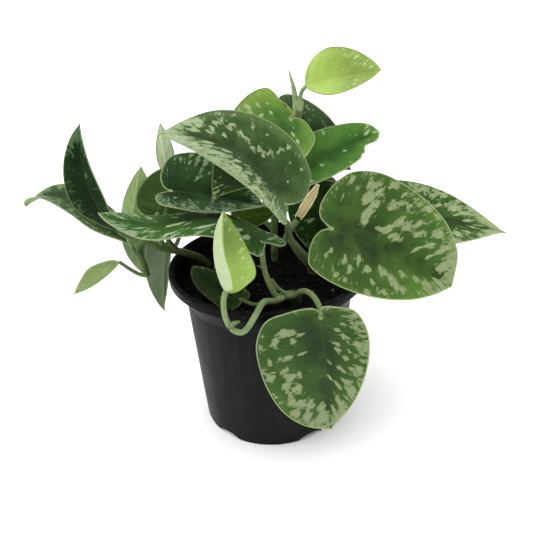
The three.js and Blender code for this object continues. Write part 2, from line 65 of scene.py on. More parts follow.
# Half an outline as (x, y), from the stalk round the margin to the tip. y is a share of the half's
# width. x is a share of the blade's length, or of its lobe's where it is negative.
HEART = [
    (0, 0), (-0.7, 0.12), (-1, 0.34), (-0.82, 0.64), (-0.25, 0.88), (0.14, 0.99),
    (0.34, 0.97), (0.55, 0.82), (0.74, 0.56), (0.88, 0.27), (0.95, 0.1), (1, 0),
]
OVATE = [
    (0, 0), (0.02, 0.14), (0.05, 0.3), (0.1, 0.52), (0.18, 0.76), (0.29, 0.94),
    (0.42, 1), (0.58, 0.9), (0.74, 0.64), (0.88, 0.31), (0.95, 0.12), (1, 0),
]
FRONT_PART = 0.2  # beyond this x a leaf's "full" shapes the outline, and up to it its "heel"
FAN = 0.38  # the side veins to this first share of the margin start at the stalk
VEIN_LEAN = 1.25  # above 1, the other veins start closer together near the stalk
WAVE = {"count": 2.5, "shift": 1.7}  # waves along a margin, and the second half's lead in radians

# ---------------------------------------------------------------- small helpers


def unit(v):
    """A vector of length 1 that points the way v does."""
    return v / np.linalg.norm(v)


def step(low, high, value):
    """0 below low, 1 above high and smooth between them. low may be the larger."""
    x = np.clip((value - low) / (high - low), 0, 1)
    return x * x * (3 - 2 * x)


def sided(value, side):
    """A leaf's value for one half. A pair holds one for each."""
    return value[side] if isinstance(value, tuple) else value


def linear(colour):
    """An sRGB hex colour as Blender's linear RGBA."""
    parts = [int(colour[i:i + 2], 16) / 255 for i in (0, 2, 4)]
    return [c / 12.92 if c <= 0.04045 else ((c + 0.055) / 1.055) ** 2.4 for c in parts] + [1]


def ring_faces(low, high, count):
    """Quads between two rings of points, numbered from low and from high."""
    nexts = [(k, (k + 1) % count) for k in range(count)]
    return [[low + k, low + n, high + n, high + k] for k, n in nexts]


def keep_vectors(mesh, name, values):
    """Keeps three numbers at each point of a mesh, for its material to read."""
    layer = mesh.attributes.new(name, "FLOAT_VECTOR", "POINT")
    layer.data.foreach_set("vector", np.asarray(values, np.float32).ravel())


def make_object(name, points, faces, materials, face_materials=None, attributes=None):
    """A smooth-shaded mesh object at the origin, from points in millimetres."""
    mesh = bpy.data.meshes.new(name)
    mesh.from_pydata((np.asarray(points) * MM).tolist(), [], faces)
    for material in materials:
        mesh.materials.append(material)
    if face_materials is not None:
        mesh.polygons.foreach_set("material_index", face_materials)
    for key, values in (attributes or {}).items():
        keep_vectors(mesh, key, values)
    mesh.validate()
    mesh.shade_smooth()
    obj = bpy.data.objects.new(name, mesh)
    bpy.context.scene.collection.objects.link(obj)
    return obj


def apply_modifiers(obj):
    """Makes an object's modifiers part of its mesh."""
    graph = bpy.context.evaluated_depsgraph_get()
    mesh = bpy.data.meshes.new_from_object(obj.evaluated_get(graph))
    obj.modifiers.clear()
    old = obj.data
    obj.data = mesh
    bpy.data.meshes.remove(old)


def finish_piece(obj, slot, *nodes):
    """The piece rides on the plant and stands for its CAD nodes, which it hides. slot is not used.
    """
    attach(obj, "root")
    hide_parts(*nodes)


# ---------------------------------------------------------------- node trees


class Paint:
    """A material's node tree, built by short calls that return sockets."""

    def __init__(self, name):
        self.material = bpy.data.materials.new(name)
        self.material.use_nodes = True
        self.tree = self.material.node_tree
        self.tree.nodes.clear()
        self.shader = self.tree.nodes.new("ShaderNodeBsdfPrincipled")
        output = self.tree.nodes.new("ShaderNodeOutputMaterial")
        self.tree.links.new(self.shader.outputs["BSDF"], output.inputs["Surface"])

    def put(self, socket, value):
        """Links a socket to another, or sets a hex colour or a plain value on it."""
        if isinstance(value, bpy.types.NodeSocket):
            self.tree.links.new(value, socket)
        elif isinstance(value, str):
            socket.default_value = linear(value)[: len(socket.default_value)]
        else:
            socket.default_value = value

    def node(self, kind, inputs, **settings):
        """A node with its settings made and its inputs put."""
        made = self.tree.nodes.new(kind)
        for key, value in settings.items():
            setattr(made, key, value)
        for key, value in inputs.items():
            self.put(made.inputs[key], value)
        return made

    def parts(self, vector):
        """The three numbers of a vector."""
        made = self.node("ShaderNodeSeparateXYZ", {0: vector})
        return [made.outputs[i] for i in range(3)]

    def attribute(self, name):
        """The three numbers that keep_vectors left on the mesh."""
        read = self.node("ShaderNodeAttribute", {}, attribute_name=name)
        return self.parts(read.outputs["Vector"])

    def place(self):
        """The place on the object, in metres."""
        return self.node("ShaderNodeTexCoord", {}).outputs["Object"]

    def maths(self, operation, a, b):
        return self.node("ShaderNodeMath", {0: a, 1: b}, operation=operation).outputs[0]

    def weighed(self, a, share_a, b, share_b):
        """The sum of a and b, each times its share."""
        inputs = {0: a, 1: share_a, 2: self.maths("MULTIPLY", b, share_b)}
        return self.node("ShaderNodeMath", inputs, operation="MULTIPLY_ADD").outputs[0]

    def vector(self, x, y, z):
        return self.node("ShaderNodeCombineXYZ", {0: x, 1: y, 2: z}).outputs[0]

    def lengthwise(self, along, along_scale, across, across_scale, seed):
        """A place for a noise that is longer one way than the other."""
        return self.vector(self.maths("MULTIPLY", along, along_scale),
                           self.maths("MULTIPLY", across, across_scale), seed)

    def scaled(self, vector, scale):
        made = self.node("ShaderNodeVectorMath", {0: vector, 1: scale}, operation="MULTIPLY")
        return made.outputs[0]

    def ramp(self, value, low, high, start=0.0, end=1.0):
        """start below low, end above high and smooth between them."""
        inputs = {0: value, 1: low, 2: high, 3: start, 4: end}
        if low > high:
            inputs = {0: value, 1: high, 2: low, 3: end, 4: start}
        made = self.node("ShaderNodeMapRange", inputs, interpolation_type="SMOOTHSTEP")
        return made.outputs[0]

    def noise(self, vector, scale, detail=3.0, roughness=0.6):
        inputs = {"Vector": vector, "Scale": scale, "Detail": detail, "Roughness": roughness}
        return self.node("ShaderNodeTexNoise", inputs).outputs[0]

    def mix(self, factor, a, b):
        """Colour a where the factor is 0 and colour b where it is 1."""
        made = self.tree.nodes.new("ShaderNodeMix")
        made.data_type = "RGBA"
        for index, value in ((0, factor), (6, a), (7, b)):
            self.put(made.inputs[index], value)
        return made.outputs[2]

    def tint(self, colour, new, value, low, high, most=1.0):
        """A colour that a new one covers, at most by a share, as a value goes low to high."""
        return self.mix(self.ramp(value, low, high, 0.0, most), colour, new)

    def shade(self, colour, amount):
        """A colour made darker or lighter by a number round 1."""
        made = self.node("ShaderNodeVectorMath", {0: colour, "Scale": amount}, operation="SCALE")
        return made.outputs[0]

    def mottle(self, colour, noise, low, high):
        """A colour shaded by low where a noise is low and by high where it is high."""
        return self.shade(colour, self.ramp(noise, 0.3, 0.7, low, high))

    def bump(self, height, distance):
        inputs = {"Height": height, "Distance": distance * MM}
        return self.node("ShaderNodeBump", inputs).outputs[0]

    def surface(self, **inputs):
        """The finished material. An input's name has _ in place of each space."""
        for key, value in inputs.items():
            self.put(self.shader.inputs[key.replace("_", " ")], value)
        return self.material


# ---------------------------------------------------------------- leaf materials


def soft_leaf(paint, colour, roughness, height, depth, shine=0.15, sheen=0.02, through=0.1):
    """The shader settings that every leaf surface has in common."""
    return paint.surface(
        Base_Color=colour, Roughness=roughness, Normal=paint.bump(height, depth),
        Specular_IOR_Level=shine,
        Sheen_Weight=sheen, Sheen_Roughness=0.5, Sheen_Tint="dfe8d2",
        Subsurface_Weight=through, Subsurface_Radius=(0.9, 1.2, 0.35), Subsurface_Scale=MM,
    )


def lengthwise_shade(paint, colour, share, base, tip):
    """A colour shaded by base near the stalk and by tip beyond the middle of the blade."""
    return paint.shade(colour, paint.ramp(share, 0.2, 0.7, base, tip))


def margin_colour(paint, look, share):
    """The pale line along the margin, which follows half of the blade's shading."""
    base, tip = (1 + look["base_shade"]) / 2, (1 + look["tip_shade"]) / 2
    return lengthwise_shade(paint, look["margin"], share, base, tip)


def upper_side(name, look, seed):
    """A leaf's upper side: dark along the midrib, silver flecks along the side veins."""
    paint = Paint(name)
    along, across, reach = paint.attribute("blade")
    from_rib, share, from_edge = paint.attribute("zone")
    silver, brown, yellow = paint.attribute("marks")
    # Cells that are longer along the veins. Each is silver or green as a whole.
    cell_length, cell_width = look["cell"]
    x, y = paint.maths("DIVIDE", along, cell_length), paint.maths("DIVIDE", across, cell_width)
    cells = paint.node("ShaderNodeTexVoronoi", {"Vector": paint.vector(x, y, seed), "Scale": 1.0})
    patch = paint.ramp(paint.noise(cells.outputs["Position"], 0.34), 0.26, 0.74)
    lone = paint.parts(cells.outputs["Color"])[0]
    height = paint.weighed(patch, 0.72, lone, 0.28)
    over = paint.maths("SUBTRACT", paint.maths("ADD", height, silver), 1.0)
    fleck = paint.ramp(over, -0.05, 0.05)

    streak = paint.noise(paint.lengthwise(along, 0.07, across, 1.1, seed), 1.0)
    grain = paint.noise(paint.lengthwise(along, 0.9, across, 1.6, seed), 1.0, 3.0, 0.65)
    cloud = paint.noise(paint.place(), 85.0, 2.0, 0.5)

    colour = paint.tint(look["dark"], look["green"], reach, 0.08, 0.62)
    colour = paint.tint(colour, look["light"], cloud, 0.4, 0.7, 0.45)
    near_edge = paint.maths("MULTIPLY", paint.ramp(from_edge, 7.0, 0.5), look["rim"])
    colour = paint.mix(near_edge, colour, look["light"])
    colour = paint.mix(yellow, colour, look["yellow"])
    veins = look["veins"]
    colour = paint.mottle(colour, streak, 1 - 0.08 * veins, 1 + 0.07 * veins)
    colour = paint.mottle(colour, grain, 0.93, 1.07)
    colour = lengthwise_shade(paint, colour, share, look["base_shade"], look["tip_shade"])
    bright = paint.maths("ADD", paint.ramp(over, 0.02, 0.45, 0.0, 0.7),
                         paint.ramp(grain, 0.35, 0.65, 0.0, 0.3))
    pale = paint.mix(bright, look["silver_dull"], look["silver"])
    colour = paint.mix(paint.maths("MULTIPLY", fleck, look["cover"]), colour, pale)
    rib = paint.ramp(from_rib, 0.75, 0.3)
    rib = paint.maths("MULTIPLY", rib, paint.ramp(share, 1.0, 0.0, 0.2, 1.0))
    colour = paint.mix(paint.maths("MULTIPLY", rib, look["rib"]), colour, look["rib_colour"])
    rust = paint.ramp(paint.maths("ADD", brown, paint.maths("MULTIPLY", grain, 0.5)), 0.62, 0.85)
    colour = paint.mix(rust, colour, "5e4d26")
    colour = paint.tint(colour, margin_colour(paint, look, share), from_edge, 0.62, 0.3)

    roughness = paint.ramp(grain, 0.25, 0.75, look["gloss"] - 0.05, look["gloss"] + 0.07)
    relief = paint.weighed(streak, 0.7, grain, 0.3)
    return soft_leaf(
        paint, colour, roughness, relief, 0.35, look["shine"], through=look["through"]
    )


def under_side(name, look, seed):
    """A leaf's underside: pale, with the side veins drawn by finer and darker lines."""
    paint = Paint(name)
    along, across, _ = paint.attribute("blade")
    from_rib, share, from_edge = paint.attribute("zone")
    grain_place = paint.lengthwise(along, 0.8, across, 1.4, seed)
    streak = paint.noise(paint.lengthwise(along, 0.06, across, 0.9, seed), 1.0)
    grain = paint.noise(grain_place, 1.0)
    cloud = paint.noise(grain_place, 0.15, 2.0, 0.5)
    colour = paint.tint(look["under"], look["under_light"], cloud, 0.15, 0.85)
    veins = look["under_veins"]
    colour = paint.mottle(colour, streak, 1 - 0.18 * veins, 1 + 0.12 * veins)
    colour = paint.mottle(colour, grain, 0.94, 1.05)
    rib = paint.maths("MULTIPLY", paint.ramp(from_rib, 1.3, 0.5), 0.7)
    colour = paint.mix(rib, colour, look["under_light"])
    colour = paint.tint(colour, margin_colour(paint, look, share), from_edge, 0.7, 0.3)
    roughness = paint.ramp(grain, 0.25, 0.75, 0.48, 0.6)
    relief = paint.weighed(streak, 0.7, grain, 0.3)
    return soft_leaf(paint, colour, roughness, relief, 0.3, 0.12, 0.04, look["through"])


def rim_paint(name, look, seed):
    """The thin pale line round a leaf, a little uneven along its length."""
    paint = Paint(name)
    along, across, _ = paint.attribute("blade")
    _, share, _ = paint.attribute("zone")
    grain = paint.noise(paint.lengthwise(along, 0.5, across, 1.0, seed), 0.6)
    colour = paint.mottle(margin_colour(paint, look, share), grain, 0.8, 1.1)
    return soft_leaf(paint, colour, paint.ramp(grain, 0.3, 0.7, 0.45, 0.6), grain, 0.1)


# ---------------------------------------------------------------- leaf blades

# The look of an upper side and an underside. A leaf takes one of these and changes some of it.
# cell is the size of a silver fleck along and across the side veins, in mm. cover is how far the
# silver hides the green, and rim, rib and veins are how far the paler margin, the midrib and the
# side veins show. base_shade and tip_shade make the blade's ends lighter (above 1) or darker.
GREEN = dict(
    slot="leaf_green", dark="182b0c", green="2e4917", light="436320", yellow="94a444",
    silver="87936c", silver_dull="6b7a4c", cover=0.94, cell=(1.5, 0.75), rim=0.45, rib=0.25,
    rib_colour="3f5226", margin="8e9f6c", veins=1.0, base_shade=1.0, tip_shade=1.0, gloss=0.42,
    shine=0.14, through=0.1, under="5f7640", under_light="7c905a", under_veins=0.8,
)
DEEP = dict(
    GREEN, slot="leaf_deep", dark="14280b", green="1f3e12", light="355822", silver="87977a",
    silver_dull="6f8164", rim=0.3, rib_colour="3f5631", margin="8f9f75", shine=0.1,
)
LIME = dict(
    GREEN, slot="leaf_lime", dark="869d46", green="869e44", light="98b05c", yellow="a8bc5e",
    silver="a5b67c", silver_dull="94a866", rib=0.2, rib_colour="a0b862", veins=0.4,
    base_shade=1.15, tip_shade=0.7, margin="8ea657", under="8aa45a", under_light="a6bb82",
    through=0.2,
)
OLIVE = dict(
    GREEN, slot="leaf_olive", dark="22370f", green="2c4b18", light="45632a", under="5f7640",
    under_light="7a8f5c",
)

# base and tip are the midrib's ends, face is the way that the upper side looks, and wide is the
# width of each half. lobe is how far a half reaches back past the stalk. full and heel are powers:
# below 1 they swell the front and the back of the outline, above 1 they narrow them. bend is how
# far the midrib curves, and fold how far a half is raised, in degrees. sweep bows the midrib
# sideways and sway bends it like an S, in mm. A bite is (half, u, depth as a share of the vein,
# width in u). u runs from 0 at the stalk round the margin to 1 at the tip.
# In marks, margin, tip and all are how thick the flecks lie there, and plain is the bare band
# beside the midrib, as a share of the half. yellow is how much of that colour lies near the
# margin, fading between yellow_ends in u, and wash how much lies near the midrib. Silver patches
# and brown spots are a list for each half of (u, reach, half length along the vein, half width
# across the veins), where reach is a share of the way from the midrib to the margin.
# A pair of numbers holds one for each half.
LEAVES = {
    "leaf_top_lime": dict(
        look=LIME, base=(21, 5, 181), tip=(55, -2, 189), face=(0, -0.8, 0.6), outline=OVATE,
        wide=(14.5, 8), full=0.75, heel=(0.6, 1.1), bend=15, fold=10,
        marks=dict(margin=0.18, all=0.14, tip=0.12), paint=dict(cell=(0.9, 0.5)),
        patches=([
            (0.82, 0.67, 1.2, 0.7), (0.9, 0.6, 1.2, 0.7), (0.74, 0.8, 0.9, 0.6),
        ], [
            (0.64, 0.5, 1, 0.6), (0.75, 0.6, 1, 0.6), (0.7, 0.8, 1, 0.6),
        ]),
    ),
    "leaf_top_chewed": dict(
        look=GREEN, base=(14, 12, 164), tip=(-26, -12, 131), face=(0.3, -0.85, 0.4),
        wide=(18, 23.5), lobe=(4.5, 4), full=(2, 1), heel=(1, 1.7), bend=15, fold=6,
        bites=[(1, 0.2, 0.1, 0.08), (1, 0.29, 0.14, 0.02), (1, 0.25, 0.08, 0.012)],
        marks=dict(margin=0.1, all=0.05, tip=0.4, yellow=(0.1, 0.5), yellow_ends=(0.7, 0.55)),
        # tip_shade darkens the tip, and half as much its margin, as painted shadow where
        # leaf_centre_silver shades it.
        paint=dict(
            dark="255019", green="4b722c", light="688d3c", yellow="90ab4a", silver="a6b88a",
            silver_dull="8fa36c", tip_shade=0.2,
        ),
        patches=([
            (0.452, 0.33, 1.6, 0.9), (0.452, 0.56, 1.2, 0.8), (0.42, 0.22, 1, 0.7),
            (0.5, 0.7, 1.2, 0.8),
        ], [
            (0.5, 0.83, 2, 0.8), (0.51, 0.72, 1.4, 0.8), (0.5, 0.5, 1.2, 1.2),
            (0.525, 0.93, 1.2, 0.8), (0.429, 0.61, 1, 0.8), (0.452, 0.42, 1, 0.8),
            (0.464, 0.72, 1.2, 0.7), (0.54, 0.62, 1.2, 0.8),
        ]),
        spots=([], [(0.26, 0.85, 3.5, 3)]),
    ),
    "leaf_centre_silver": dict(
        look=DEEP, base=(9, -30, 136), tip=(-46, -26, 170), face=(0.45, -0.4, 0.8), wide=(22, 27),
        lobe=(1.5, 8), full=(1, 0.95), heel=(3.2, 0.6), bend=60, fold=14, sweep=-5,
        marks=dict(margin=(0.3, 0.1), all=(0.42, 0.08), tip=0.7, plain=0.12),
        paint=dict(
            cell=(1.5, 0.65), light="50683a", green="2c471d", rim=0.75, dark="223614",
            silver="98a582", silver_dull="687952",
        ),
        patches=([
            (0.79, 0.3, 2.4, 1.4), (0.75, 0.55, 2.4, 1.4), (0.715, 0.3, 2.4, 1.2),
            (0.69, 0.62, 2.4, 1.2), (0.655, 0.4, 2.4, 1.2), (0.62, 0.62, 2.6, 1.4),
            (0.58, 0.74, 2.6, 1.4), (0.56, 0.42, 1.6, 1), (0.53, 0.74, 2.4, 1.2),
            (0.48, 0.62, 1.8, 1), (0.44, 0.75, 1.6, 0.9),
        ], [
            (0.775, 0.83, 2.5, 1.2), (0.738, 0.67, 1.6, 1.2), (0.715, 0.72, 1.8, 1),
            (0.7, 0.56, 1.8, 1.2), (0.685, 0.67, 1.6, 1.2), (0.668, 0.5, 1.8, 1.2),
            (0.65, 0.42, 1.4, 1), (0.631, 0.28, 2, 1.2), (0.61, 0.34, 1.5, 0.9),
            (0.592, 0.28, 1.3, 1), (0.578, 0.38, 1.5, 0.9), (0.556, 0.46, 1.4, 0.9),
            (0.54, 0.42, 1.1, 0.7), (0.524, 0.56, 1.5, 1), (0.508, 0.66, 1.3, 0.8),
            (0.488, 0.8, 1.5, 1), (0.62, 0.72, 1.4, 0.9), (0.57, 0.72, 1, 0.7),
            (0.465, 0.61, 0.8, 0.7), (0.44, 0.33, 1.2, 0.6), (0.405, 0.78, 0.7, 0.7),
            (0.81, 0.9, 3, 4), (0.79, 0.68, 2, 2), (0.94, 0.4, 4, 4), (0.835, 0.5, 2.4, 2),
            (0.785, 0.42, 2, 1.2), (0.74, 0.35, 1.6, 0.9), (0.76, 0.55, 1.6, 1),
            (0.71, 0.92, 1.6, 0.9), (0.67, 0.9, 1.2, 0.8),
        ]),
    ),
    "leaf_right_bitten": dict(
        look=GREEN, base=(18, 17, 136), tip=(59, 17, 154), face=(-0.3, -0.8, 0.5), wide=(14, 11.5),
        lobe=4, full=0.5, bend=15, fold=6,
        bites=[(1, 0.82, 0.35, 0.06), (1, 0.73, 0.08, 0.015)],
        marks=dict(margin=0.12, all=0.08, tip=0.2),
        paint=dict(
            dark="244c13", green="38641f", light="587f35", silver="9cae84", silver_dull="859a6a",
        ),
        patches=([(0.9, 0.44, 1.6, 0.8)], [(0.74, 0.2, 1, 0.8), (0.56, 0.33, 1.4, 0.7)]),
        spots=([], [(0.82, 1.0, 2, 1.5)]),
    ),
    "leaf_right_heart": dict(
        look=GREEN, base=(32, -14, 116), tip=(90, -27, 88), face=(0, -0.8, 0.6), wide=(35, 25),
        lobe=(10, 6), full=(0.42, 0.8), heel=(1.25, 1), bend=20, fold=4,
        marks=dict(margin=(0.3, 0.2), all=0.06, tip=0.62), paint=dict(tip_shade=1.45),
        patches=([
            (0.46, 0.8, 3.5, 2.2), (0.475, 0.6, 4, 3), (0.51, 0.4, 4.5, 2.6), (0.52, 0.27, 2.5, 2),
            (0.515, 0.56, 2, 2.2), (0.5, 0.73, 2, 2), (0.525, 0.9, 2, 1.8), (0.57, 0.67, 3.2, 2),
            (0.57, 0.88, 2.2, 0.9), (0.605, 0.78, 1.3, 1.6), (0.62, 0.33, 3, 2),
            (0.63, 0.5, 3.5, 1.8), (0.595, 0.27, 1.2, 2), (0.665, 0.28, 2, 3),
            (0.665, 0.5, 2.4, 2), (0.68, 0.66, 3, 1.4), (0.715, 0.56, 3, 1.6),
            (0.76, 0.33, 3.5, 1), (0.775, 0.56, 3, 1.4), (0.665, 0.93, 2, 2.2),
            (0.75, 0.78, 3, 2.2), (0.7, 0.95, 2, 2), (0.82, 0.7, 4, 2), (0.36, 0.56, 2, 1),
            (0.38, 0.84, 2.2, 0.8), (0.82, 0.39, 3, 1.2), (0.9, 0.45, 4, 3),
        ], [
            (0.56, 0.38, 3.5, 1.4), (0.5, 0.48, 3, 1.4), (0.525, 0.62, 2.4, 1),
            (0.595, 0.5, 2.4, 1.6), (0.655, 0.44, 3, 1.6), (0.69, 0.64, 4, 2), (0.74, 0.4, 2, 1.4),
            (0.715, 0.78, 2.5, 1.6), (0.61, 0.72, 1.8, 1.2), (0.585, 0.93, 2, 1.6),
            (0.43, 0.42, 1.2, 1.2), (0.415, 0.56, 1.6, 1), (0.79, 0.5, 2.4, 1.2),
            (0.83, 0.61, 2.6, 2), (0.92, 0.4, 4, 3), (0.645, 0.88, 1.6, 2), (0.475, 0.82, 1.2, 1),
            (0.51, 0.84, 1.2, 1.4),
        ]),
    ),
    "leaf_right_silver": dict(
        look=DEEP, base=(58, 15, 111), tip=(128, 10, 98), face=(0, -0.6, 0.8), wide=(20, 19),
        lobe=8, full=1.3, bend=20, fold=6,
        marks=dict(margin=(0.42, 0.4), all=0.17, tip=0.7),
        paint=dict(
            silver="939f76", silver_dull="78875b", dark="1b3410", green="2c4d1a", light="46682e",
        ),
        patches=([
            (0.69, 0.67, 3.5, 2), (0.73, 0.67, 3, 2), (0.785, 0.4, 3, 1.5), (0.665, 0.93, 1.4, 1),
            (0.715, 0.93, 1.6, 1), (0.605, 0.88, 1.4, 1), (0.855, 0.3, 3, 1.5),
            (0.75, 0.8, 2.5, 1.2), (0.775, 0.83, 2, 1), (0.725, 0.44, 2, 0.9),
            (0.65, 0.55, 2.4, 1),
        ], [
            (0.7, 0.72, 3, 1.6), (0.74, 0.66, 2.5, 1.2), (0.82, 0.35, 3, 1.4),
            (0.68, 0.33, 3, 1.5), (0.63, 0.5, 2, 0.9),
        ]),
    ),
    "leaf_front_heart": dict(
        look=GREEN, base=(23, -55, 91), tip=(28, -60, 29), face=(0, -1, 0.1), wide=(21, 31),
        lobe=5, full=(1, 0.55), heel=(2.1, 1.6), bend=15, fold=4,
        marks=dict(margin=(0.36, 0.15), all=(0.16, 0.05), tip=0.6, plain=0.12),
        paint=dict(
            dark="1c2f10", green="294416", light="395522", silver="838e6c", tip_shade=1.35,
            cell=(1.6, 0.65),
        ),
        patches=([
            (0.465, 0.33, 1.8, 1.2), (0.49, 0.45, 1.2, 1.6), (0.535, 0.28, 2.2, 1),
            (0.56, 0.33, 1.6, 1.2), (0.585, 0.5, 1.6, 2), (0.64, 0.12, 1.4, 0.9),
            (0.715, 0.12, 1.6, 1.2), (0.715, 0.4, 3, 1), (0.68, 0.56, 3, 1),
            (0.62, 0.67, 1.6, 1.6), (0.55, 0.56, 1.4, 1.4), (0.51, 0.73, 1.4, 1.4),
            (0.43, 0.5, 1.4, 1), (0.605, 0.84, 2.5, 2.5), (0.7, 0.82, 3, 3), (0.775, 0.6, 4, 2),
            (0.855, 0.45, 4, 3), (0.64, 0.4, 2.5, 0.9),
        ], [
            (0.465, 0.72, 1.8, 3), (0.44, 0.5, 3.5, 1.8), (0.465, 0.33, 2, 1),
            (0.49, 0.44, 1.6, 1.8), (0.43, 0.6, 2, 2), (0.56, 0.33, 2, 0.9),
            (0.55, 0.56, 2.4, 1.4), (0.54, 0.68, 1.6, 1.6), (0.595, 0.67, 3, 1.8),
            (0.63, 0.61, 2.6, 2.4), (0.665, 0.72, 2, 3), (0.69, 0.56, 2.2, 3),
            (0.64, 0.45, 1.2, 2), (0.595, 0.88, 2.4, 1.4), (0.715, 0.76, 2.6, 1.8),
            (0.75, 0.66, 3, 2), (0.785, 0.5, 3, 2.5), (0.845, 0.3, 3, 3), (0.82, 0.72, 3.5, 3),
            (0.9, 0.5, 5, 4), (0.765, 0.85, 2.5, 2.5), (0.475, 0.94, 1.5, 1.8),
            (0.535, 0.84, 0.9, 1.4), (0.57, 0.95, 1, 1), (0.665, 0.94, 1.4, 1.4),
        ]),
        spots=([], [(1.0, 0.0, 1.5, 1.5)]),
    ),
    "leaf_front_young": dict(
        look=LIME, base=(-19, -56, 107), tip=(-18, -48, 142), face=(0.9, -0.35, 0.2),
        wide=(17, 17), lobe=(0.5, 3), full=(0.9, 0.8), bend=-60, fold=45,
        marks=dict(margin=(0.3, 0.16), all=(0.3, 0.06), tip=0.2, wash=(1, 0)),
        paint=dict(
            dark="8aa64c", green="88a44e", light="94ae5a", yellow="b6c498", silver="b0c288",
            silver_dull="a4b87a", cell=(1.4, 0.8), rib=0.0, tip_shade=0.7, under="97a67a",
            under_light="a4b28a", under_veins=0.3,
        ),
        patches=([], [
            (0.5, 0.7, 1, 0.6), (0.42, 0.58, 1, 0.6), (0.56, 0.78, 0.9, 0.6), (0.62, 0.86, 1, 0.7),
            (0.36, 0.75, 0.8, 0.6),
        ]),
    ),
    "leaf_front_long": dict(
        look=DEEP, base=(-2.4, -22, 114), tip=(-80, -16, 130), face=(0.1, 0.15, 1), wide=(17, 25),
        lobe=(2, 12), full=0.6, heel=(2.2, 1), bend=15, fold=(-12, 0), sway=4,
        bites=[(1, 0.5, 0.35, 0.14)],
        marks=dict(margin=0.26, all=0.16, tip=0.1, plain=0.1),
        paint=dict(
            dark="233f14", green="2f521c", silver="9caa8c", cell=(2.2, 0.7), gloss=0.6, shine=0.04,
        ),
        patches=([
            (0.725, 0.2, 3.5, 2), (0.73, 0.62, 2, 1.4), (0.68, 0.2, 3, 1), (0.6, 0.42, 3, 1.6),
            (0.595, 0.25, 2, 1), (0.535, 0.7, 2.5, 2), (0.51, 0.1, 3, 1.5), (0.46, 0.3, 3, 2),
            (0.8, 0.5, 2.5, 1), (0.66, 0.75, 2, 1.4),
        ], [
            (0.79, 0.86, 3.5, 1), (0.76, 0.66, 3, 0.8), (0.9, 0.5, 4, 1), (0.3, 0.45, 5, 2),
            (0.69, 0.55, 3, 1.2), (0.65, 0.78, 3, 1.4), (0.61, 0.5, 3, 1.2), (0.57, 0.72, 3, 1.4),
            (0.54, 0.35, 3, 1.2),
        ]),
    ),
    "leaf_left_dark": dict(
        look=DEEP, base=(-48, 8, 130), tip=(-1, 9, 119.5), face=(0, -0.3, 0.95), wide=(24, 26),
        lobe=6, full=(0.8, 1), bend=10, fold=22,
        marks=dict(margin=(0.2, 0.4), all=(0.14, 0.2), tip=0.3),
        # The near-black green along the midrib is partly the leaf's own dark colour and partly
        # painted shadow over the middle of the blade.
        paint=dict(
            silver="718466", silver_dull="566a4c", dark="0d1f08", green="1a3512", light="2a4a1d",
            shine=0.05,
        ),
        patches=([
            (0.465, 0.93, 2.5, 1), (0.51, 0.88, 2.5, 1), (0.55, 0.82, 2.5, 1),
            (0.42, 0.83, 1.6, 0.9), (0.48, 0.75, 1.4, 0.7), (0.55, 0.6, 3, 1),
            (0.55, 0.4, 2.5, 0.8),
        ], [
            (0.43, 0.4, 2, 1), (0.525, 0.4, 2, 1),
        ]),
    ),
    "leaf_left_olive": dict(
        look=OLIVE, base=(-60, 31, 108), tip=(-47, 34, 135), face=(0.2, 0.9, 0), wide=(17, 15),
        lobe=4, full=0.8, bend=10, fold=4,
        # The dark underside is painted shade, for an underside that lies in shade.
        paint=dict(under="2a4216", under_light="385222"),
    ),
    "leaf_left_pale": dict(
        look=OLIVE, base=(-77, 38, 100), tip=(-67, 38, 134), face=(0.2, 0.9, 0), wide=(12, 7),
        lobe=3, bend=10, fold=4,
        paint=dict(under="849d61", under_light="93a971", under_veins=0.4),
    ),
    "leaf_left_small": dict(
        look=OLIVE, base=(-54, 44, 124), tip=(-55, 44, 156), face=(-0.2, 0.9, 0), outline=OVATE,
        wide=(5.5, 4.5), bend=10, fold=4,
        paint=dict(under="bccba4", under_light="c9d5b4", under_veins=0.25),
    ),
    "leaf_left_upright": dict(
        look=DEEP, base=(-77, 7, 110), tip=(-88, 7, 167), face=(-0.4, -0.9, 0.25), outline=OVATE,
        wide=(13, 7), full=(0.7, 1.1), heel=1.1, bend=60, fold=8, sweep=2, fan=0.1,
        marks=dict(margin=(0.3, 0.05), all=0.12, tip=0.85),
        # The near-black greens are the leaf's own dark green deepened by painted shade, for its
        # place on the shadowed side of the plant.
        paint=dict(
            dark="091807", green="0e210a", light="1c3414", shine=0.03, silver="4a6040",
            silver_dull="2c4424", margin="6d7f5a",
        ),
        patches=([], [(0.68, 0.2, 1.4, 1.4)]),
    ),
    "leaf_left_drooping": dict(
        look=DEEP, base=(-72.5, 13, 97), tip=(-135, 40, 112), face=(0.3, 0, 0.95), outline=OVATE,
        wide=(17, 11), full=0.6, heel=(2, 2.2), bend=76, fold=(12, 32), sway=-3, fan=0.1,
        marks=dict(margin=0.3, all=0.26, tip=0.3),
        paint=dict(
            dark="172c0d", green="203e14", light="325222", silver="707e5a", silver_dull="56683e",
        ),
    ),
    "leaf_left_low": dict(
        look=OLIVE, base=(-79, 6, 92), tip=(-108, 10, 71.5), face=(-0.4, 0.6, 0.7), outline=OVATE,
        wide=(9.5, 5), heel=0.6, bend=-30, fold=35,
        paint=dict(under="71864c", under_light="83975c", under_veins=0.5),
    ),
    "leaf_left_hanging": dict(
        look=OLIVE, base=(-54, 14, 98), tip=(-59, 11, 57.5), face=(0.4, 0.8, 0), wide=(12.5, 3),
        lobe=1, full=(0.7, 1.2), bend=20, fold=(-10, 20), sweep=2,
        paint=dict(under="505f43", under_light="606f54", under_veins=0.6),
    ),
    "leaf_left_cluster": dict(
        look=OLIVE, base=(-70, 22, 101.5), tip=(-69, 22, 73.5), face=(0, 0.9, 0.2), wide=(11, 10),
        lobe=2, bend=20, fold=10,
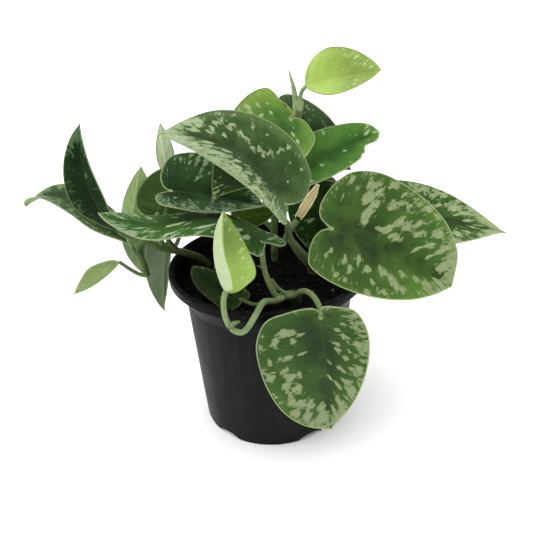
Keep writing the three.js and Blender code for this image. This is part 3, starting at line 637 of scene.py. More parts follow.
        paint=dict(under="5a7046", under_light="6c8056"),
    ),
    "leaf_in_pot": dict(
        look=GREEN, base=(-14, -28, 86), tip=(-40, 3, 89), face=(-0.1, -0.3, 0.95), wide=(11, 6),
        lobe=3, full=0.7, bend=10, fold=4,
        marks=dict(margin=0.1, all=0.08, tip=0.1),
        # The dark greens are painted shade, for the shade of the pot round this leaf.
        paint=dict(dark="101d07", green="1a2c0d", light="283c18", margin="4c5a36", shine=0.03),
    ),
    "leaf_back_tall": dict(
        look=DEEP, base=(15, 31, 158), tip=(47, 32, 129), face=(0.1, -0.95, 0.2), wide=(14, 14),
        lobe=12, bend=20, fold=6,
        marks=dict(margin=0.12, all=0.17, tip=0.2),
        paint=dict(
            dark="2a3d23", green="344b2b", light="465d3c", silver="8c9a80", cell=(0.8, 0.5),
        ),
    ),
    "leaf_back_hanging": dict(
        look=DEEP, base=(36, 18, 126), tip=(24, 16, 88), face=(0.1, -0.9, 0.4), wide=(15, 22),
        lobe=(5, 2), heel=(1, 2.5), bend=20, fold=6,
        marks=dict(margin=0.1, all=0.1),
        patches=([], [(0.69, 0.42, 2, 1.2), (0.63, 0.6, 1, 1)]),
    ),
    "leaf_back_left": dict(
        look=DEEP, base=(-16, 34, 118), tip=(-46, 64, 102), face=(-0.4, 0.2, 0.9), wide=(18, 19),
        lobe=6, bend=30, fold=8,
    ),
    "leaf_back_right": dict(
        look=GREEN, base=(28, 39, 120), tip=(62, 69, 94), face=(0.4, 0.2, 0.9), wide=(20, 19),
        lobe=7, bend=30, fold=8,
    ),
    "leaf_back_low": dict(
        look=DEEP, base=(5, 44, 106), tip=(4, 84, 78), face=(0, 0.6, 0.8), wide=(19, 20), lobe=6,
        bend=35, fold=8,
    ),
    "leaf_inner_olive": dict(
        look=OLIVE, base=(-15, 14, 111), tip=(6, 14, 114), face=(0, 0.9, 0.3), wide=(9, 9), lobe=3,
        bend=10, fold=4,
        # The dark underside is painted shade, for a leaf that hangs in shade behind the others.
        paint=dict(under="354c14", under_light="46601e"),
    ),
}

# The blade is as pale round the end of its stalk as along its margin.
STALK_MARK = 0.3
ROWS, COLUMNS = 84, 18
ROW_PLACES = np.linspace(0, 1, ROWS + 1)
RIB = {"groove": 0.12, "groove_width": 0.5, "ridge": 0.35, "ridge_width": 0.7, "fade": (1.0, 0.75)}
QUILT = {"count": 9, "height": 0.16, "power": 1.5}  # low folds between the side veins
SWELL = {"height": 0.35, "along": 0.13, "across": 0.17}  # slower rises, in radians per mm
EDGE = {"thin": 0.62, "thins_over": 5, "bulge": 0.12}  # thin is a share of the blade's thickness
RAGGED = {"depth": 0.02, "waves": (173, 311)}  # the torn edge inside a bite
LEAF_SEED, PAINT_SEED = 1.7, 3.1  # times a leaf's number, so that no two are alike
MARGIN_WIDTHS = 1.6  # a margin is about this many half widths longer than the midrib
# Where marks set in, in shares of the way to the margin or, for the tip, of the midrib's length.
ONSET = {"margin": (0.35, 0.95), "yellow": (0.35, 1.0), "wash": (0.68, 0.38), "tip": (0.72, 0.97)}
PATCH = {"strength": 1.05, "falloff": 0.7, "power": 1.5}  # a higher power gives a sharper edge


def spline(points, u):
    """Uniform Catmull-Rom through points, as three.js draws its SplineCurve."""
    points = np.array(points, float)
    last = len(points) - 1
    place = u * last
    low = np.minimum(place.astype(int), last)
    w = (place - low)[:, None]
    p0, p1 = points[np.maximum(low - 1, 0)], points[low]
    p2, p3 = points[np.minimum(low + 1, last)], points[np.minimum(low + 2, last)]
    v0, v1 = (p2 - p0) / 2, (p3 - p1) / 2
    cubic = (2 * p1 - 2 * p2 + v0 + v1) * w ** 3 + (3 * p2 - 3 * p1 - 2 * v0 - v1) * w ** 2
    return cubic + v0 * w + p1


def vein_start(leaf, u):
    """Where on the midrib a side vein starts, as a share of its length."""
    fan = leaf.get("fan", FAN)
    return (np.maximum(u - fan, 0) / (1 - fan)) ** VEIN_LEAN


def blade_frame(leaf):
    """The blade's three directions, half of its bend in radians and its length along the bend."""
    chord = np.subtract(leaf["tip"], leaf["base"])
    along = unit(chord)
    face = np.array(leaf["face"], float)
    up = unit(face - along * face.dot(along))
    half = math.radians(leaf["bend"]) / 2
    length = np.linalg.norm(chord) * half / math.sin(half)
    return along, up, np.cross(up, along), half, length


def margin_length(leaf):
    """About how long one half's margin is. It turns u into a distance across the veins."""
    return MARGIN_WIDTHS * max(leaf["wide"]) + blade_frame(leaf)[4]


def blade_point(leaf, x, y, side, u, lift):
    """The same bent, folded and waved sheet as the solid's, raised by lift."""
    along, up, left, half, length = blade_frame(leaf)
    share = x / length
    reach = y / leaf["wide"][side]
    fold = math.radians(sided(leaf["fold"], side))
    front = np.maximum(share, 0)
    across = y * math.cos(fold) * (1 if side == 0 else -1)
    across = across + 4 * leaf.get("sweep", 0) * front * (1 - front)
    swing = 2 * math.pi * WAVE["count"] * u + side * WAVE["shift"]
    raised = y * math.sin(fold) + BLADE["wave"] * reach ** 2 * np.sin(swing)
    raised = raised + leaf.get("sway", 0) * np.sin(2 * math.pi * front) + lift
    turn = half * (1 - 2 * share)
    arc = length / (2 * half)
    forward = arc * (math.sin(half) - np.sin(turn)) - raised * np.sin(turn)
    rise = arc * (np.cos(turn) - math.cos(half)) + raised * np.cos(turn)
    parts = forward[:, None] * along + rise[:, None] * up + across[:, None] * left
    return np.array(leaf["base"], float) + parts


def kept(leaf, side, u, seed):
    """How much of each vein the bites leave, with a ragged edge."""
    keep = np.ones_like(u)
    slow, fast = RAGGED["waves"]
    for bitten_side, at, depth, span in leaf.get("bites", []):
        if bitten_side == side:
            dip = np.exp(-(((u - at) / span) ** 2))
            ragged = 0.5 * np.sin(u * slow + seed) + 0.5 * np.sin(u * fast + 2 * seed)
            keep -= depth * dip + RAGGED["depth"] * ragged * np.minimum(1, 3 * dip)
    return keep


def from_line(line, x, y):
    """How far each point lies from a line of points."""
    start, run = line[:-1], np.diff(line, axis=0)
    dx, dy = x[..., None] - start[:, 0], y[..., None] - start[:, 1]
    share = (dx * run[:, 0] + dy * run[:, 1]) / np.maximum((run ** 2).sum(1), 1e-9)
    share = np.clip(share, 0, 1)
    return np.hypot(dx - share * run[:, 0], dy - share * run[:, 1]).min(-1)


def half_sheet(leaf, side, seed):
    """Rows of points on one half, with what the materials need to know at each."""
    length = blade_frame(leaf)[4]
    lobe, wide = sided(leaf.get("lobe", 0), side), leaf["wide"][side]
    full, heel = sided(leaf.get("full", 1), side), sided(leaf.get("heel", 1), side)
    margin = [
        (x * lobe if x < 0 else x * length, wide * y ** (full if x > FRONT_PART else heel))
        for x, y in leaf.get("outline", HEART)
    ]
    edge = spline(margin, ROW_PLACES)
    start = vein_start(leaf, ROW_PLACES) * length
    keep = kept(leaf, side, ROW_PLACES, seed)
    q = np.linspace(0, 1, COLUMNS + 1)[None, :] * keep[:, None]
    x = start[:, None] + (edge[:, 0] - start)[:, None] * q
    y = np.maximum(edge[:, 1], 0)[:, None] * q
    vein = np.hypot(edge[:, 0] - start, edge[:, 1])[:, None]
    u = ROW_PLACES[:, None] * np.ones_like(q)
    bell = np.sin(math.pi * np.clip(q, 0, 1)) ** QUILT["power"]
    lift = QUILT["height"] * bell * np.cos(2 * math.pi * QUILT["count"] * u + seed)
    slow = np.sin(x * SWELL["along"] + seed) * np.sin(y * SWELL["across"] + 2 * seed)
    lift = lift + slow * SWELL["height"] * step(0.0, 0.6, q)
    points = blade_point(leaf, x.ravel(), y.ravel(), side, u.ravel(), lift.ravel())
    return {
        "points": points.reshape(*q.shape, 3), "y": y, "u": u, "q": q, "share": x / length,
        "along": vein * q * (1 if side == 0 else -1), "across": u * margin_length(leaf),
        "vein": vein, "from_edge": from_line(np.column_stack([x[:, -1], y[:, -1]]), x, y),
    }


def marks_on(leaf, side, sheet):
    """Silver, brown and yellow on a half, each from 0 to 1."""
    marks = leaf.get("marks", {})
    q, u, share = sheet["q"], sheet["u"], np.clip(sheet["share"], 0, 1)
    plain = marks.get("plain", 0.22)
    silver = sided(marks.get("margin", 0.3), side) * step(*ONSET["margin"], q)
    silver = silver + sided(marks.get("all", 0.1), side)
    silver = silver * step(plain, plain + 0.2, q)
    silver = silver + marks.get("tip", 0.8) * step(*ONSET["tip"], share)
    yellow = sided(marks.get("yellow", 0.0), side) * step(*ONSET["yellow"], q)
    wash = sided(marks.get("wash", 0.0), side) * step(*ONSET["wash"], q)
    yellow = np.maximum(yellow, wash) * step(*marks.get("yellow_ends", (2.0, 1.5)), u)

    def farness(patch):
        """How far each point lies from a patch, squared, as a multiple of the patch's size."""
        at, reach, half_along, half_across = patch
        far = ((q - reach) * sheet["vein"] / half_along) ** 2
        return far + ((sheet["across"] - at * margin_length(leaf)) / half_across) ** 2

    for patch in sided(leaf.get("patches", []), side):
        near = np.exp(-(farness(patch) ** PATCH["power"]) * PATCH["falloff"])
        silver = np.maximum(silver, PATCH["strength"] * near)
    brown = np.zeros_like(q)
    for spot in sided(leaf.get("spots", []), side):
        brown = np.maximum(brown, np.exp(-farness(spot)))
    return np.clip(silver, 0, 1), brown, yellow


def blade_sheet(leaf, seed):
    """The blade's middle sheet: points and what is known at them, faces and margin edges."""
    points, from_edge, blade, zone, marks = [], [], [], [], []
    sheets = [half_sheet(leaf, side, seed) for side in (0, 1)]
    levels = [marks_on(leaf, side, sheets[side]) for side in (0, 1)]

    def add(side, i, j):
        """Adds one point of a half and gives its number."""
        sheet = sheets[side]
        points.append(sheet["points"][i, j])
        from_edge.append(sheet["from_edge"][i, j])
        from_stalk = np.linalg.norm(points[-1] - np.array(leaf["base"]))
        pale_from = min(from_edge[-1], STALK_MARK * from_stalk ** 2)
        blade.append((sheet["along"][i, j], sheet["across"][i, j], sheet["q"][i, j]))
        zone.append((sheet["y"][i, j], sheet["share"][i, j], pale_from))
        marks.append([level[i, j] for level in levels[side]])
        return len(points) - 1

    # The halves share their midrib, and the veins that fan out from the stalk share its end.
    base, tip = add(0, 0, 0), add(0, ROWS, 0)
    ids = np.zeros((2, ROWS + 1, COLUMNS + 1), int)
    ids[:, 0], ids[:, ROWS] = base, tip
    for i in range(1, ROWS):
        ids[:, i, 0] = base if ROW_PLACES[i] <= leaf.get("fan", FAN) else add(0, i, 0)
    for side in (0, 1):
        for i in range(1, ROWS):
            for j in range(1, COLUMNS + 1):
                ids[side, i, j] = add(side, i, j)

    faces, rim = [], []
    for side in (0, 1):
        for i in range(ROWS):
            for j in range(COLUMNS):
                corner = [ids[side, i, j], ids[side, i + 1, j],
                          ids[side, i + 1, j + 1], ids[side, i, j + 1]]
                if side == 1:
                    corner.reverse()
                face = [c for k, c in enumerate(corner) if c != corner[k - 1]]
                if len(face) > 2:
                    faces.append(face)
            pair = (ids[side, i, COLUMNS], ids[side, i + 1, COLUMNS])
            rim.append(pair[::-1] if side == 0 else pair)
    known = {"blade": np.array(blade), "zone": np.array(zone), "marks": np.array(marks)}
    return np.array(points), np.array(from_edge), known, faces, rim


def point_normals(points, faces):
    """A unit normal at each point, from the faces that meet there."""
    normals = np.zeros_like(points)
    for face in faces:
        a, b, c = points[face[0]], points[face[1]], points[face[2]]
        normal = np.cross(b - a, c - a)
        if len(face) == 4:
            normal = normal + np.cross(c - a, points[face[3]] - a)
        for corner in face:
            normals[corner] += normal
    return normals / np.linalg.norm(normals, axis=1)[:, None]


def leaf_piece(name, leaf, number):
    """A closed blade with a grooved midrib, a raised rib below and a thin rounded margin."""
    points, from_edge, known, faces, rim = blade_sheet(leaf, LEAF_SEED * number)
    normals = point_normals(points, faces)
    from_rib, share, _ = known["zone"].T
    fade = step(*RIB["fade"], share)
    thin = EDGE["thin"] + (1 - EDGE["thin"]) * step(0, EDGE["thins_over"], from_edge)
    half = BLADE["thickness"] / 2 * thin
    groove = RIB["groove"] * np.exp(-((from_rib / RIB["groove_width"]) ** 2)) * fade
    ridge = RIB["ridge"] * np.exp(-((from_rib / RIB["ridge_width"]) ** 2)) * fade
    count = len(points)
    upper = points + normals * (half - groove)[:, None]
    lower = points - normals * (half + ridge)[:, None]
    # The margin gets a third line of points halfway down, so that it is round.
    on_rim = sorted({corner for pair in rim for corner in pair})
    middle_id = {corner: 2 * count + k for k, corner in enumerate(on_rim)}
    centre = points.mean(0)
    outward = np.array([unit(points[c] - centre) for c in on_rim])
    middle = points[on_rim] + outward * EDGE["bulge"]
    order = list(range(count)) * 2 + on_rim
    all_faces = faces + [[count + c for c in reversed(face)] for face in faces]
    kinds = [0] * len(faces) + [1] * len(faces)
    for a, b in rim:
        all_faces += [[b, middle_id[b], middle_id[a], a],
                      [middle_id[b], count + b, count + a, middle_id[a]]]
        kinds += [2, 2]
    look = {**leaf["look"], **leaf.get("paint", {})}
    seed = PAINT_SEED * number
    materials = [
        upper_side(name + "_upper", look, seed),
        under_side(name + "_under", look, seed + 1),
        rim_paint(name + "_rim", look, seed + 2),
    ]
    obj = make_object(name + "_blade", np.vstack([upper, lower, middle]), all_faces, materials,
                      kinds, {key: values[order] for key, values in known.items()})
    finish_piece(obj, look["slot"], name)


# ---------------------------------------------------------------- stems

# Each part is (points, radii, tone), with a leaf's name at the end for the base of its blade, and
# the radii at even steps. A tone of 0 is an ordinary stalk, 1 the oldest stem, -0.6 a new shoot.
VINES = {
    "vine_front": [
        ([(14, -23, 66), (14, -23, 81), (12.5, -24.5, 85.5), (7, -27, 86.5)], (2, 2, 2.6, 2), 0.8),
        ([(8, -27, 86), (4, -26, 86), (1.6, -26, 90), (0, -25, 94), (-1.5, -24, 99),
          (-2.3, -23, 105), "leaf_front_long"], (1.6, 1.3), -0.2),
        ([(11, -26, 86), (5.5, -25, 89), (1.5, -25, 95)], (1.1, 0.9), -0.1),
        ([(7, -28, 86), (3, -34, 88), (0, -40, 91.5), (-3, -48, 95.5), (-7, -56, 93),
          (-10.5, -60, 89.5), (-13, -62, 89), (-17, -62, 91), (-19, -61, 94.5), (-20, -60, 98.5),
          (-20, -58, 104), "leaf_front_young"], (1.6, 1.3), -0.3),
        ([(-18, -62, 92), (-16, -63, 94.5), (-13, -63, 95.5)], (1.2, 1.3, 0.4), 0.3),
        ([(9, -27, 86), (13, -31, 89), (15, -35, 93), (18, -41, 96.5), (21, -48, 97),
          (23, -53, 94), "leaf_front_heart"], (1.6, 1.3), 0.1),
        ([(7, -28, 86.3), (0, -31, 85.5), (-7, -31, 84.6), "leaf_in_pot"], (1.2, 1), 0.4),
    ],
    "vine_right": [
        ([(24, 5, 66), (24, 5, 82), (22.5, 3.6, 87.5), (17, -1, 97), (12, -4, 106)],
         (2.2, 2.4, 2.9, 2.6, 1.9), 0.2),
        ([(13, -3, 104), (11, -6, 111), (10.5, -14, 119), (8.5, -26, 128), "leaf_centre_silver"],
         (1.7, 1.3), 0.2),
        ([(21, 2, 89), (26, 0, 97), (31, -4, 106), (32, -9, 113), "leaf_right_heart"],
         (1.6, 1.3), 0.3),
        ([(23, 4, 85), (36, 9, 92), (48, 12, 101), (55, 14, 107), "leaf_right_silver"],
         (1.6, 1.3), 0.3),
    ],
    "vine_centre": [
        ([(4, 22, 66), (4, 22, 80.5), (4, 21, 92), (4.3, 20, 103), (5, 20, 118), (6, 20, 132),
          (9, 19, 146), (14, 18, 156), (17.7, 16, 164), (19, 14, 172)],
         (2, 2, 1.9, 1.8, 1.9, 1.9), 0.4),
        ([(18.8, 14, 169), (19, 13, 174), (19.5, 9, 178), "leaf_top_lime"], (1.2, 1), -0.5),
        ([(16.3, 17, 159), (17, 16, 169), (15.9, 15, 178), (13.5, 14, 187.4)],
         (1.4, 1.7, 1.2, 0.3), -0.6),
        ([(13, 18.5, 154), (14, 17, 160), "leaf_top_chewed"], (1.4, 1.2), 0.1),
        ([(5.5, 20, 124), (10, 21, 128), (16, 20, 133), "leaf_right_bitten"], (1.4, 1.2), 0.2),
        ([(6.5, 20, 133), (9, 28, 136), (14, 36, 147), "leaf_back_tall"], (1.4, 1.2), 0.2),
        ([(4.5, 20, 105), (14, 23, 114), (28, 24, 124), (36, 22, 128), "leaf_back_hanging"],
         (1.4, 1.2), 0.2),
        ([(4.2, 20.5, 100), (-4, 25, 108), (-12, 31, 113), "leaf_back_left"], (1.4, 1.2), 0.2),
        ([(4.6, 20, 110), (12, 28, 112), (22, 36, 116), "leaf_back_right"], (1.4, 1.2), 0.2),
        ([(4, 21, 86), (4.5, 29, 93), (5, 38, 101), "leaf_back_low"], (1.4, 1.2), 0.2),
        ([(4, 20.7, 95), (-6, 15, 98), (-13, 10, 102), (-16, 11, 108), "leaf_inner_olive"],
         (1.2, 1), 0.4),
        ([(4, 21, 88), (6, 13, 95), (8.4, 6, 99), (12, 1, 109), (16, 2, 114)],
         (1.3, 1.5, 1.6, 1.8), -0.2),
    ],
    "vine_left": [
        ([(-33, 19, 66), (-33, 19, 80.5), (-37, 16, 87.5), (-43, 13, 92), (-47, 11, 94.5),
          (-52, 10, 96), (-58, 9, 98), (-64, 9, 102), (-68, 8, 98), (-66, 6, 90), (-65, 6, 83)],
         (2, 2, 1.8, 1.6), 0.8),
        ([(-48, 11, 95), (-52, 9, 102), (-53, 7, 112), (-51, 6, 120), (-49, 6, 126),
          "leaf_left_dark"], (1.5, 1.1), 0.7),
        ([(-56, 9, 98), (-56.5, 18, 104), (-59, 27, 105), "leaf_left_olive"], (1.4, 1.1), 0.6),
        ([(-50, 10, 96), (-48, 26, 98), (-50, 40, 103), (-54, 44, 117), "leaf_left_small"],
         (1.3, 1), 0.5),
        ([(-62, 9, 100), (-64, 14, 107), (-70, 24, 109), (-76, 35, 103), "leaf_left_pale"],
         (1.3, 1), 0.5),
        ([(-65, 9, 101), (-71, 10, 104), (-76, 9, 107), "leaf_left_upright"], (1.5, 1.2), 0.5),
        ([(-67, 8, 96), (-69.5, 10, 93), "leaf_left_drooping"], (1.4, 1.1), 0.5),
        ([(-65, 6, 83), (-69, 6, 84), (-74, 6, 87.5), "leaf_left_low"], (1.2, 1), 0.4),
        ([(-56, 9.4, 96.6), (-55, 11, 98.2), "leaf_left_hanging"], (1.4, 1.1), 0.5),
        ([(-64, 9, 102), (-67, 13, 103.5), (-69, 17.5, 103.5), "leaf_left_cluster"],
         (1.3, 1), 0.5),
    ],
}
STALK_ENDS = {name: leaf["base"] for name, leaf in LEAVES.items()}
STEM_SIDES = 14
STEM_STEP = 1.2
STEM_VOXEL = 0.32
SCAR = {"strength": 0.8, "length": 0.06, "least_tone": 0.05}  # length is a share of the part's


def smooth_path(points, spacing):
    """Centripetal Catmull-Rom through points, at even spacing along its length."""
    points = np.array(points, float)
    points = np.vstack([2 * points[0] - points[1], points, 2 * points[-1] - points[-2]])
    fine = []
    w = np.linspace(0, 1, 24, endpoint=False)[:, None]
    for p0, p1, p2, p3 in zip(points, points[1:], points[2:], points[3:]):
        d0, d1, d2 = [np.linalg.norm(b - a) ** 0.5 for a, b in ((p0, p1), (p1, p2), (p2, p3))]
        t1 = d1 * ((p1 - p0) / d0 - (p2 - p0) / (d0 + d1) + (p2 - p1) / d1)
        t2 = d1 * ((p2 - p1) / d1 - (p3 - p1) / (d1 + d2) + (p3 - p2) / d2)
        cubic = (2 * p1 - 2 * p2 + t1 + t2) * w ** 3
        fine.append(p1 + t1 * w + (3 * p2 - 3 * p1 - 2 * t1 - t2) * w ** 2 + cubic)
    fine = np.vstack(fine + [points[-2][None]])
    gone = np.concatenate([[0], np.cumsum(np.linalg.norm(np.diff(fine, axis=0), axis=1))])
    places = np.linspace(0, gone[-1], max(4, round(gone[-1] / spacing)) + 1)
    return np.stack([np.interp(places, gone, fine[:, k]) for k in range(3)], 1)


def untwisted(path, aside):
    """Each point of a path, with its tangent and a sideways direction that doesn't twist."""
    tangents = np.gradient(path, axis=0)
    side_way = unit(np.cross(tangents[0], aside))
    for centre, tangent in zip(path, tangents):
        tangent = unit(tangent)
        side_way = unit(side_way - tangent * side_way.dot(tangent))
        yield centre, tangent, side_way


def tube(path, radii):
    """Points and faces of a closed tube along an even path."""
    share = np.linspace(0, 1, len(path))
    radius = np.interp(share, np.linspace(0, 1, len(radii)), radii)
    points = []
    for (centre, tangent, side_way), r in zip(untwisted(path, (0.31, 0.52, 0.8)), radius):
        other = np.cross(tangent, side_way)
        for k in range(STEM_SIDES):
            angle = 2 * math.pi * k / STEM_SIDES
            points.append(centre + r * (side_way * math.cos(angle) + other * math.sin(angle)))
    faces = []
    for i in range(len(path) - 1):
        faces += ring_faces(i * STEM_SIDES, (i + 1) * STEM_SIDES, STEM_SIDES)
    faces.append(list(range(STEM_SIDES))[::-1])
    faces.append([(len(path) - 1) * STEM_SIDES + k for k in range(STEM_SIDES)])
    return points, faces


def stem_paint():
    """Satin green stalks, older stems darker, new shoots paler, brown scars at the joints."""
    paint = Paint("stem")
    tone, scar, _ = paint.attribute("stem")
    place = paint.place()
    grain = paint.noise(place, 900.0)
    cloud = paint.noise(place, 160.0, 2.0, 0.5)
    colour = paint.tint("62744a", "2c4218", tone, 0.0, 1.0)
    colour = paint.tint(colour, "8a9c6e", tone, 0.0, -0.6)
    colour = paint.tint(colour, "566a38", cloud, 0.35, 0.7, 0.4)
    colour = paint.mottle(colour, grain, 0.88, 1.1)
    rust = paint.ramp(paint.maths("ADD", scar, paint.maths("MULTIPLY", cloud, 0.6)), 0.75, 1.1)
    colour = paint.mix(paint.maths("MULTIPLY", rust, 0.7), colour, "3c3a1e")
    return soft_leaf(paint, colour, paint.ramp(cloud, 0.3, 0.7, 0.42, 0.56), grain, 0.12)


STEM_PAINT = stem_paint()


def vine_piece(name, parts):
    """A stem with its stalks: tubes melted into one skin, whose points keep their tube's tone."""
    points, faces, samples = [], [], []
    for route, radii, tone in parts:
        path = smooth_path([STALK_ENDS.get(place, place) for place in route], STEM_STEP)
        new_points, new_faces = tube(path, radii)
        faces += [[len(points) + c for c in face] for face in new_faces]
        points += new_points
        for k, place in enumerate(path):
            near = math.exp(-((k / (len(path) - 1) / SCAR["length"]) ** 2))
            scar = SCAR["strength"] * near if tone > SCAR["least_tone"] else 0.0
            samples.append((place, (tone, scar, 0.0)))
    obj = make_object(name + "_stems", points, faces, [STEM_PAINT])
    remesh = obj.modifiers.new("join", "REMESH")
    remesh.mode = "VOXEL"
    remesh.voxel_size = STEM_VOXEL * MM
    smooth = obj.modifiers.new("smooth", "SMOOTH")
    smooth.factor, smooth.iterations = 0.5, 3
    apply_modifiers(obj)
    tree = kdtree.KDTree(len(samples))
    for k, (place, _) in enumerate(samples):
        tree.insert(Vector(place), k)
    tree.balance()
    nearest = [samples[tree.find(v.co / MM)[1]][1] for v in obj.data.vertices]
    keep_vectors(obj.data, "stem", nearest)
    obj.data.shade_smooth()
    finish_piece(obj, "stem", name)


# ---------------------------------------------------------------- the dry sheath

# A strip along path, curled round it from one turn in degrees to the other.
SHEATH = {
    "path": [(16.5, 1.5, 115.3), (19, 1, 120), (23.2, 3, 126), (27, 5, 132)],
    "step": 0.5,
    "columns": 15,
    "turns": (-125, 110),
    "radii_at": (0, 0.3, 0.7, 1),
    "radii": (1.9, 2.5, 2.3, 0.7),
    "length": 18,
    "width_per_radian": 2.2,
    "wall": 0.28,
}


def sheath_paint():
    """Papery tan with fine lengthwise fibres and brown specks."""
    paint = Paint("dry_sheath")
    along, across, edge = paint.attribute("sheath")
    fibre = paint.noise(paint.lengthwise(along, 0.15, across, 1.0, 0.0), 2.6, 4.0, 0.65)
    speck = paint.noise(paint.place(), 1500.0, 2.0, 0.5)
    colour = paint.tint("d0c08a", "f0e4b8", fibre, 0.3, 0.7)
    colour = paint.tint(colour, "5a4623", speck, 0.62, 0.72, 0.5)
    colour = paint.tint(colour, "f4ecc8", edge, 0.75, 1.0, 0.6)
    return paint.surface(
        Base_Color=colour, Roughness=paint.ramp(fibre, 0.3, 0.7, 0.7, 0.85),
        Normal=paint.bump(fibre, 0.25), Specular_IOR_Level=0.2,
    )


def sheath_piece():
    """A thin curled strip, open on one side, that narrows to both ends."""
    path = smooth_path(SHEATH["path"], SHEATH["step"])
    rows, columns = len(path), SHEATH["columns"]
    shells = [[], []]
    info = []
    for i, (centre, tangent, side_way) in enumerate(untwisted(path, (0, 1, 0))):
        share = i / (rows - 1)
        front = np.cross(side_way, tangent)
        radius = np.interp(share, SHEATH["radii_at"], SHEATH["radii"])
        for j in range(columns):
            turn = math.radians(np.interp(j, [0, columns - 1], SHEATH["turns"]))
            crinkle = 1 + 0.06 * math.sin(7 * turn + 3 * share)
            crinkle += 0.04 * math.sin(20 * share + turn)
            way = side_way * math.sin(turn) + front * math.cos(turn)
            for shell, offset in zip(shells, (0.0, -SHEATH["wall"])):
                shell.append(centre + way * (radius * crinkle + offset))
            across = turn * SHEATH["width_per_radian"]
            info.append((share * SHEATH["length"], across, abs(2 * j / (columns - 1) - 1)))
    count = rows * columns
    faces = []
    for i in range(rows - 1):
        for j in range(columns - 1):
            a = i * columns + j
            face = [a, a + 1, a + columns + 1, a + columns]
            faces += [face, [count + c for c in face[::-1]]]
    border = list(range(columns)) + [i * columns + columns - 1 for i in range(1, rows)]
    border += [(rows - 1) * columns + j for j in range(columns - 2, -1, -1)]
    border += [i * columns for i in range(rows - 2, 0, -1)]
    for a, b in zip(border, border[1:] + border[:1]):
        faces.append([b, a, count + a, count + b])
    obj = make_object("dry_sheath_curl", shells[0] + shells[1], faces, [sheath_paint()],
                      attributes={"sheath": info + info})
    finish_piece(obj, "dry_sheath", "dry_sheath")


# ---------------------------------------------------------------- pot

POT_SECTORS = 160
LIP_CROWN = {"drop": 0.4, "width": 2.2}
CORNER_STEPS = 4
SHARP_ANGLE = 38


def pot_paint():
    """Black moulded plastic: faint flow marks and scratches, dusty near the lip, and painted shade
    that makes the lip and the flare near black.
    """
    paint = Paint("pot_plastic")
    place = paint.place()
    _, _, z = paint.parts(place)
    fine = paint.noise(place, 2600.0)
    cloud = paint.noise(place, 38.0, 3.0, 0.55)
    streak = paint.noise(paint.scaled(place, (1.0, 1.0, 0.06)), 260.0)
    scratch = paint.noise(paint.scaled(place, (1.0, 1.0, 0.03)), 900.0, 2.0, 0.7)
    dust_noise = paint.noise(place, 420.0, 4.0, 0.7)
    colour = paint.tint("111413", "191c1a", cloud, 0.3, 0.7)
    colour = paint.tint(colour, "252927", streak, 0.45, 0.75, 0.35)
    colour = paint.tint(colour, "353a37", scratch, 0.66, 0.74, 0.3)
    # Painted shade: from the top of the body up through the flare and the lip, the plastic is
    # darkened to near black, against the light that falls on these upward faces.
    colour = paint.tint(colour, "020404", z, 0.072, 0.082, 0.85)
    near_lip = paint.ramp(z, 0.07, 0.092)
    dust = paint.maths("MULTIPLY", paint.ramp(dust_noise, 0.6, 0.72), near_lip)
    colour = paint.mix(paint.maths("MULTIPLY", dust, 0.55), colour, "5a5246")
    roughness = paint.maths("ADD", paint.ramp(cloud, 0.3, 0.7, 0.36, 0.48),
                            paint.ramp(fine, 0.3, 0.7, 0.0, 0.06))
    relief = paint.weighed(fine, 0.4, streak, 0.6)
    return paint.surface(
        Base_Color=colour, Roughness=roughness, Normal=paint.bump(relief, 0.09),
        Specular_IOR_Level=0.05,
    )


def inner_radius(z):
    """The radius of the pot's inner wall at a height."""
    heights = [0, POT["body_top"], POT["flare_top"]]
    radii = [POT["base_radius"], POT["body_radius"], POT["flare_radius"]]
    return np.interp(z, heights, radii) - POT["wall"]


def rounded(profile):
    """A profile of (radius, height, rounding), its corners cut short by arcs of that reach."""
    out = []
    for k, (r, z, rounding) in enumerate(profile):
        here = np.array((r, z), float)
        if not rounding:
            out.append(here)
            continue
        before = np.array(profile[k - 1][:2], float) - here
        after = np.array(profile[k + 1][:2], float) - here
        reach = min(rounding, 0.45 * np.linalg.norm(before), 0.45 * np.linalg.norm(after))
        start, end = here + unit(before) * reach, here + unit(after) * reach
        for t in np.linspace(0, 1, CORNER_STEPS + 1):
            out.append((1 - t) ** 2 * start + 2 * t * (1 - t) * here + t ** 2 * end)
    return out


def notch_cutters():
    """Lying cylinders round the base, each with its top where a notch's arch is."""
    arch = (NOTCH["width"] ** 2 / 4 + NOTCH["height"] ** 2) / (2 * NOTCH["height"])
    sides, deep = NOTCH["sides"], NOTCH["depth"]
    walls = ring_faces(0, sides, sides)
    ends = [list(range(sides))[::-1], list(range(sides, 2 * sides))]
    cutters = []
    for i in range(NOTCH["count"]):
        turn = math.radians(NOTCH["turn"] + 360 / NOTCH["count"] * i)
        points = []
        for x in (POT["base_radius"] - deep, POT["base_radius"] + deep):
            for k in range(sides):
                angle = 2 * math.pi * k / sides
                y, z = arch * math.cos(angle), arch * math.sin(angle)
                points.append((x * math.cos(turn) - y * math.sin(turn),
                               x * math.sin(turn) + y * math.cos(turn),
                               z + NOTCH["height"] - arch))
        cutters.append(make_object(f"notch_{i}", points, walls + ends, []))
    return cutters


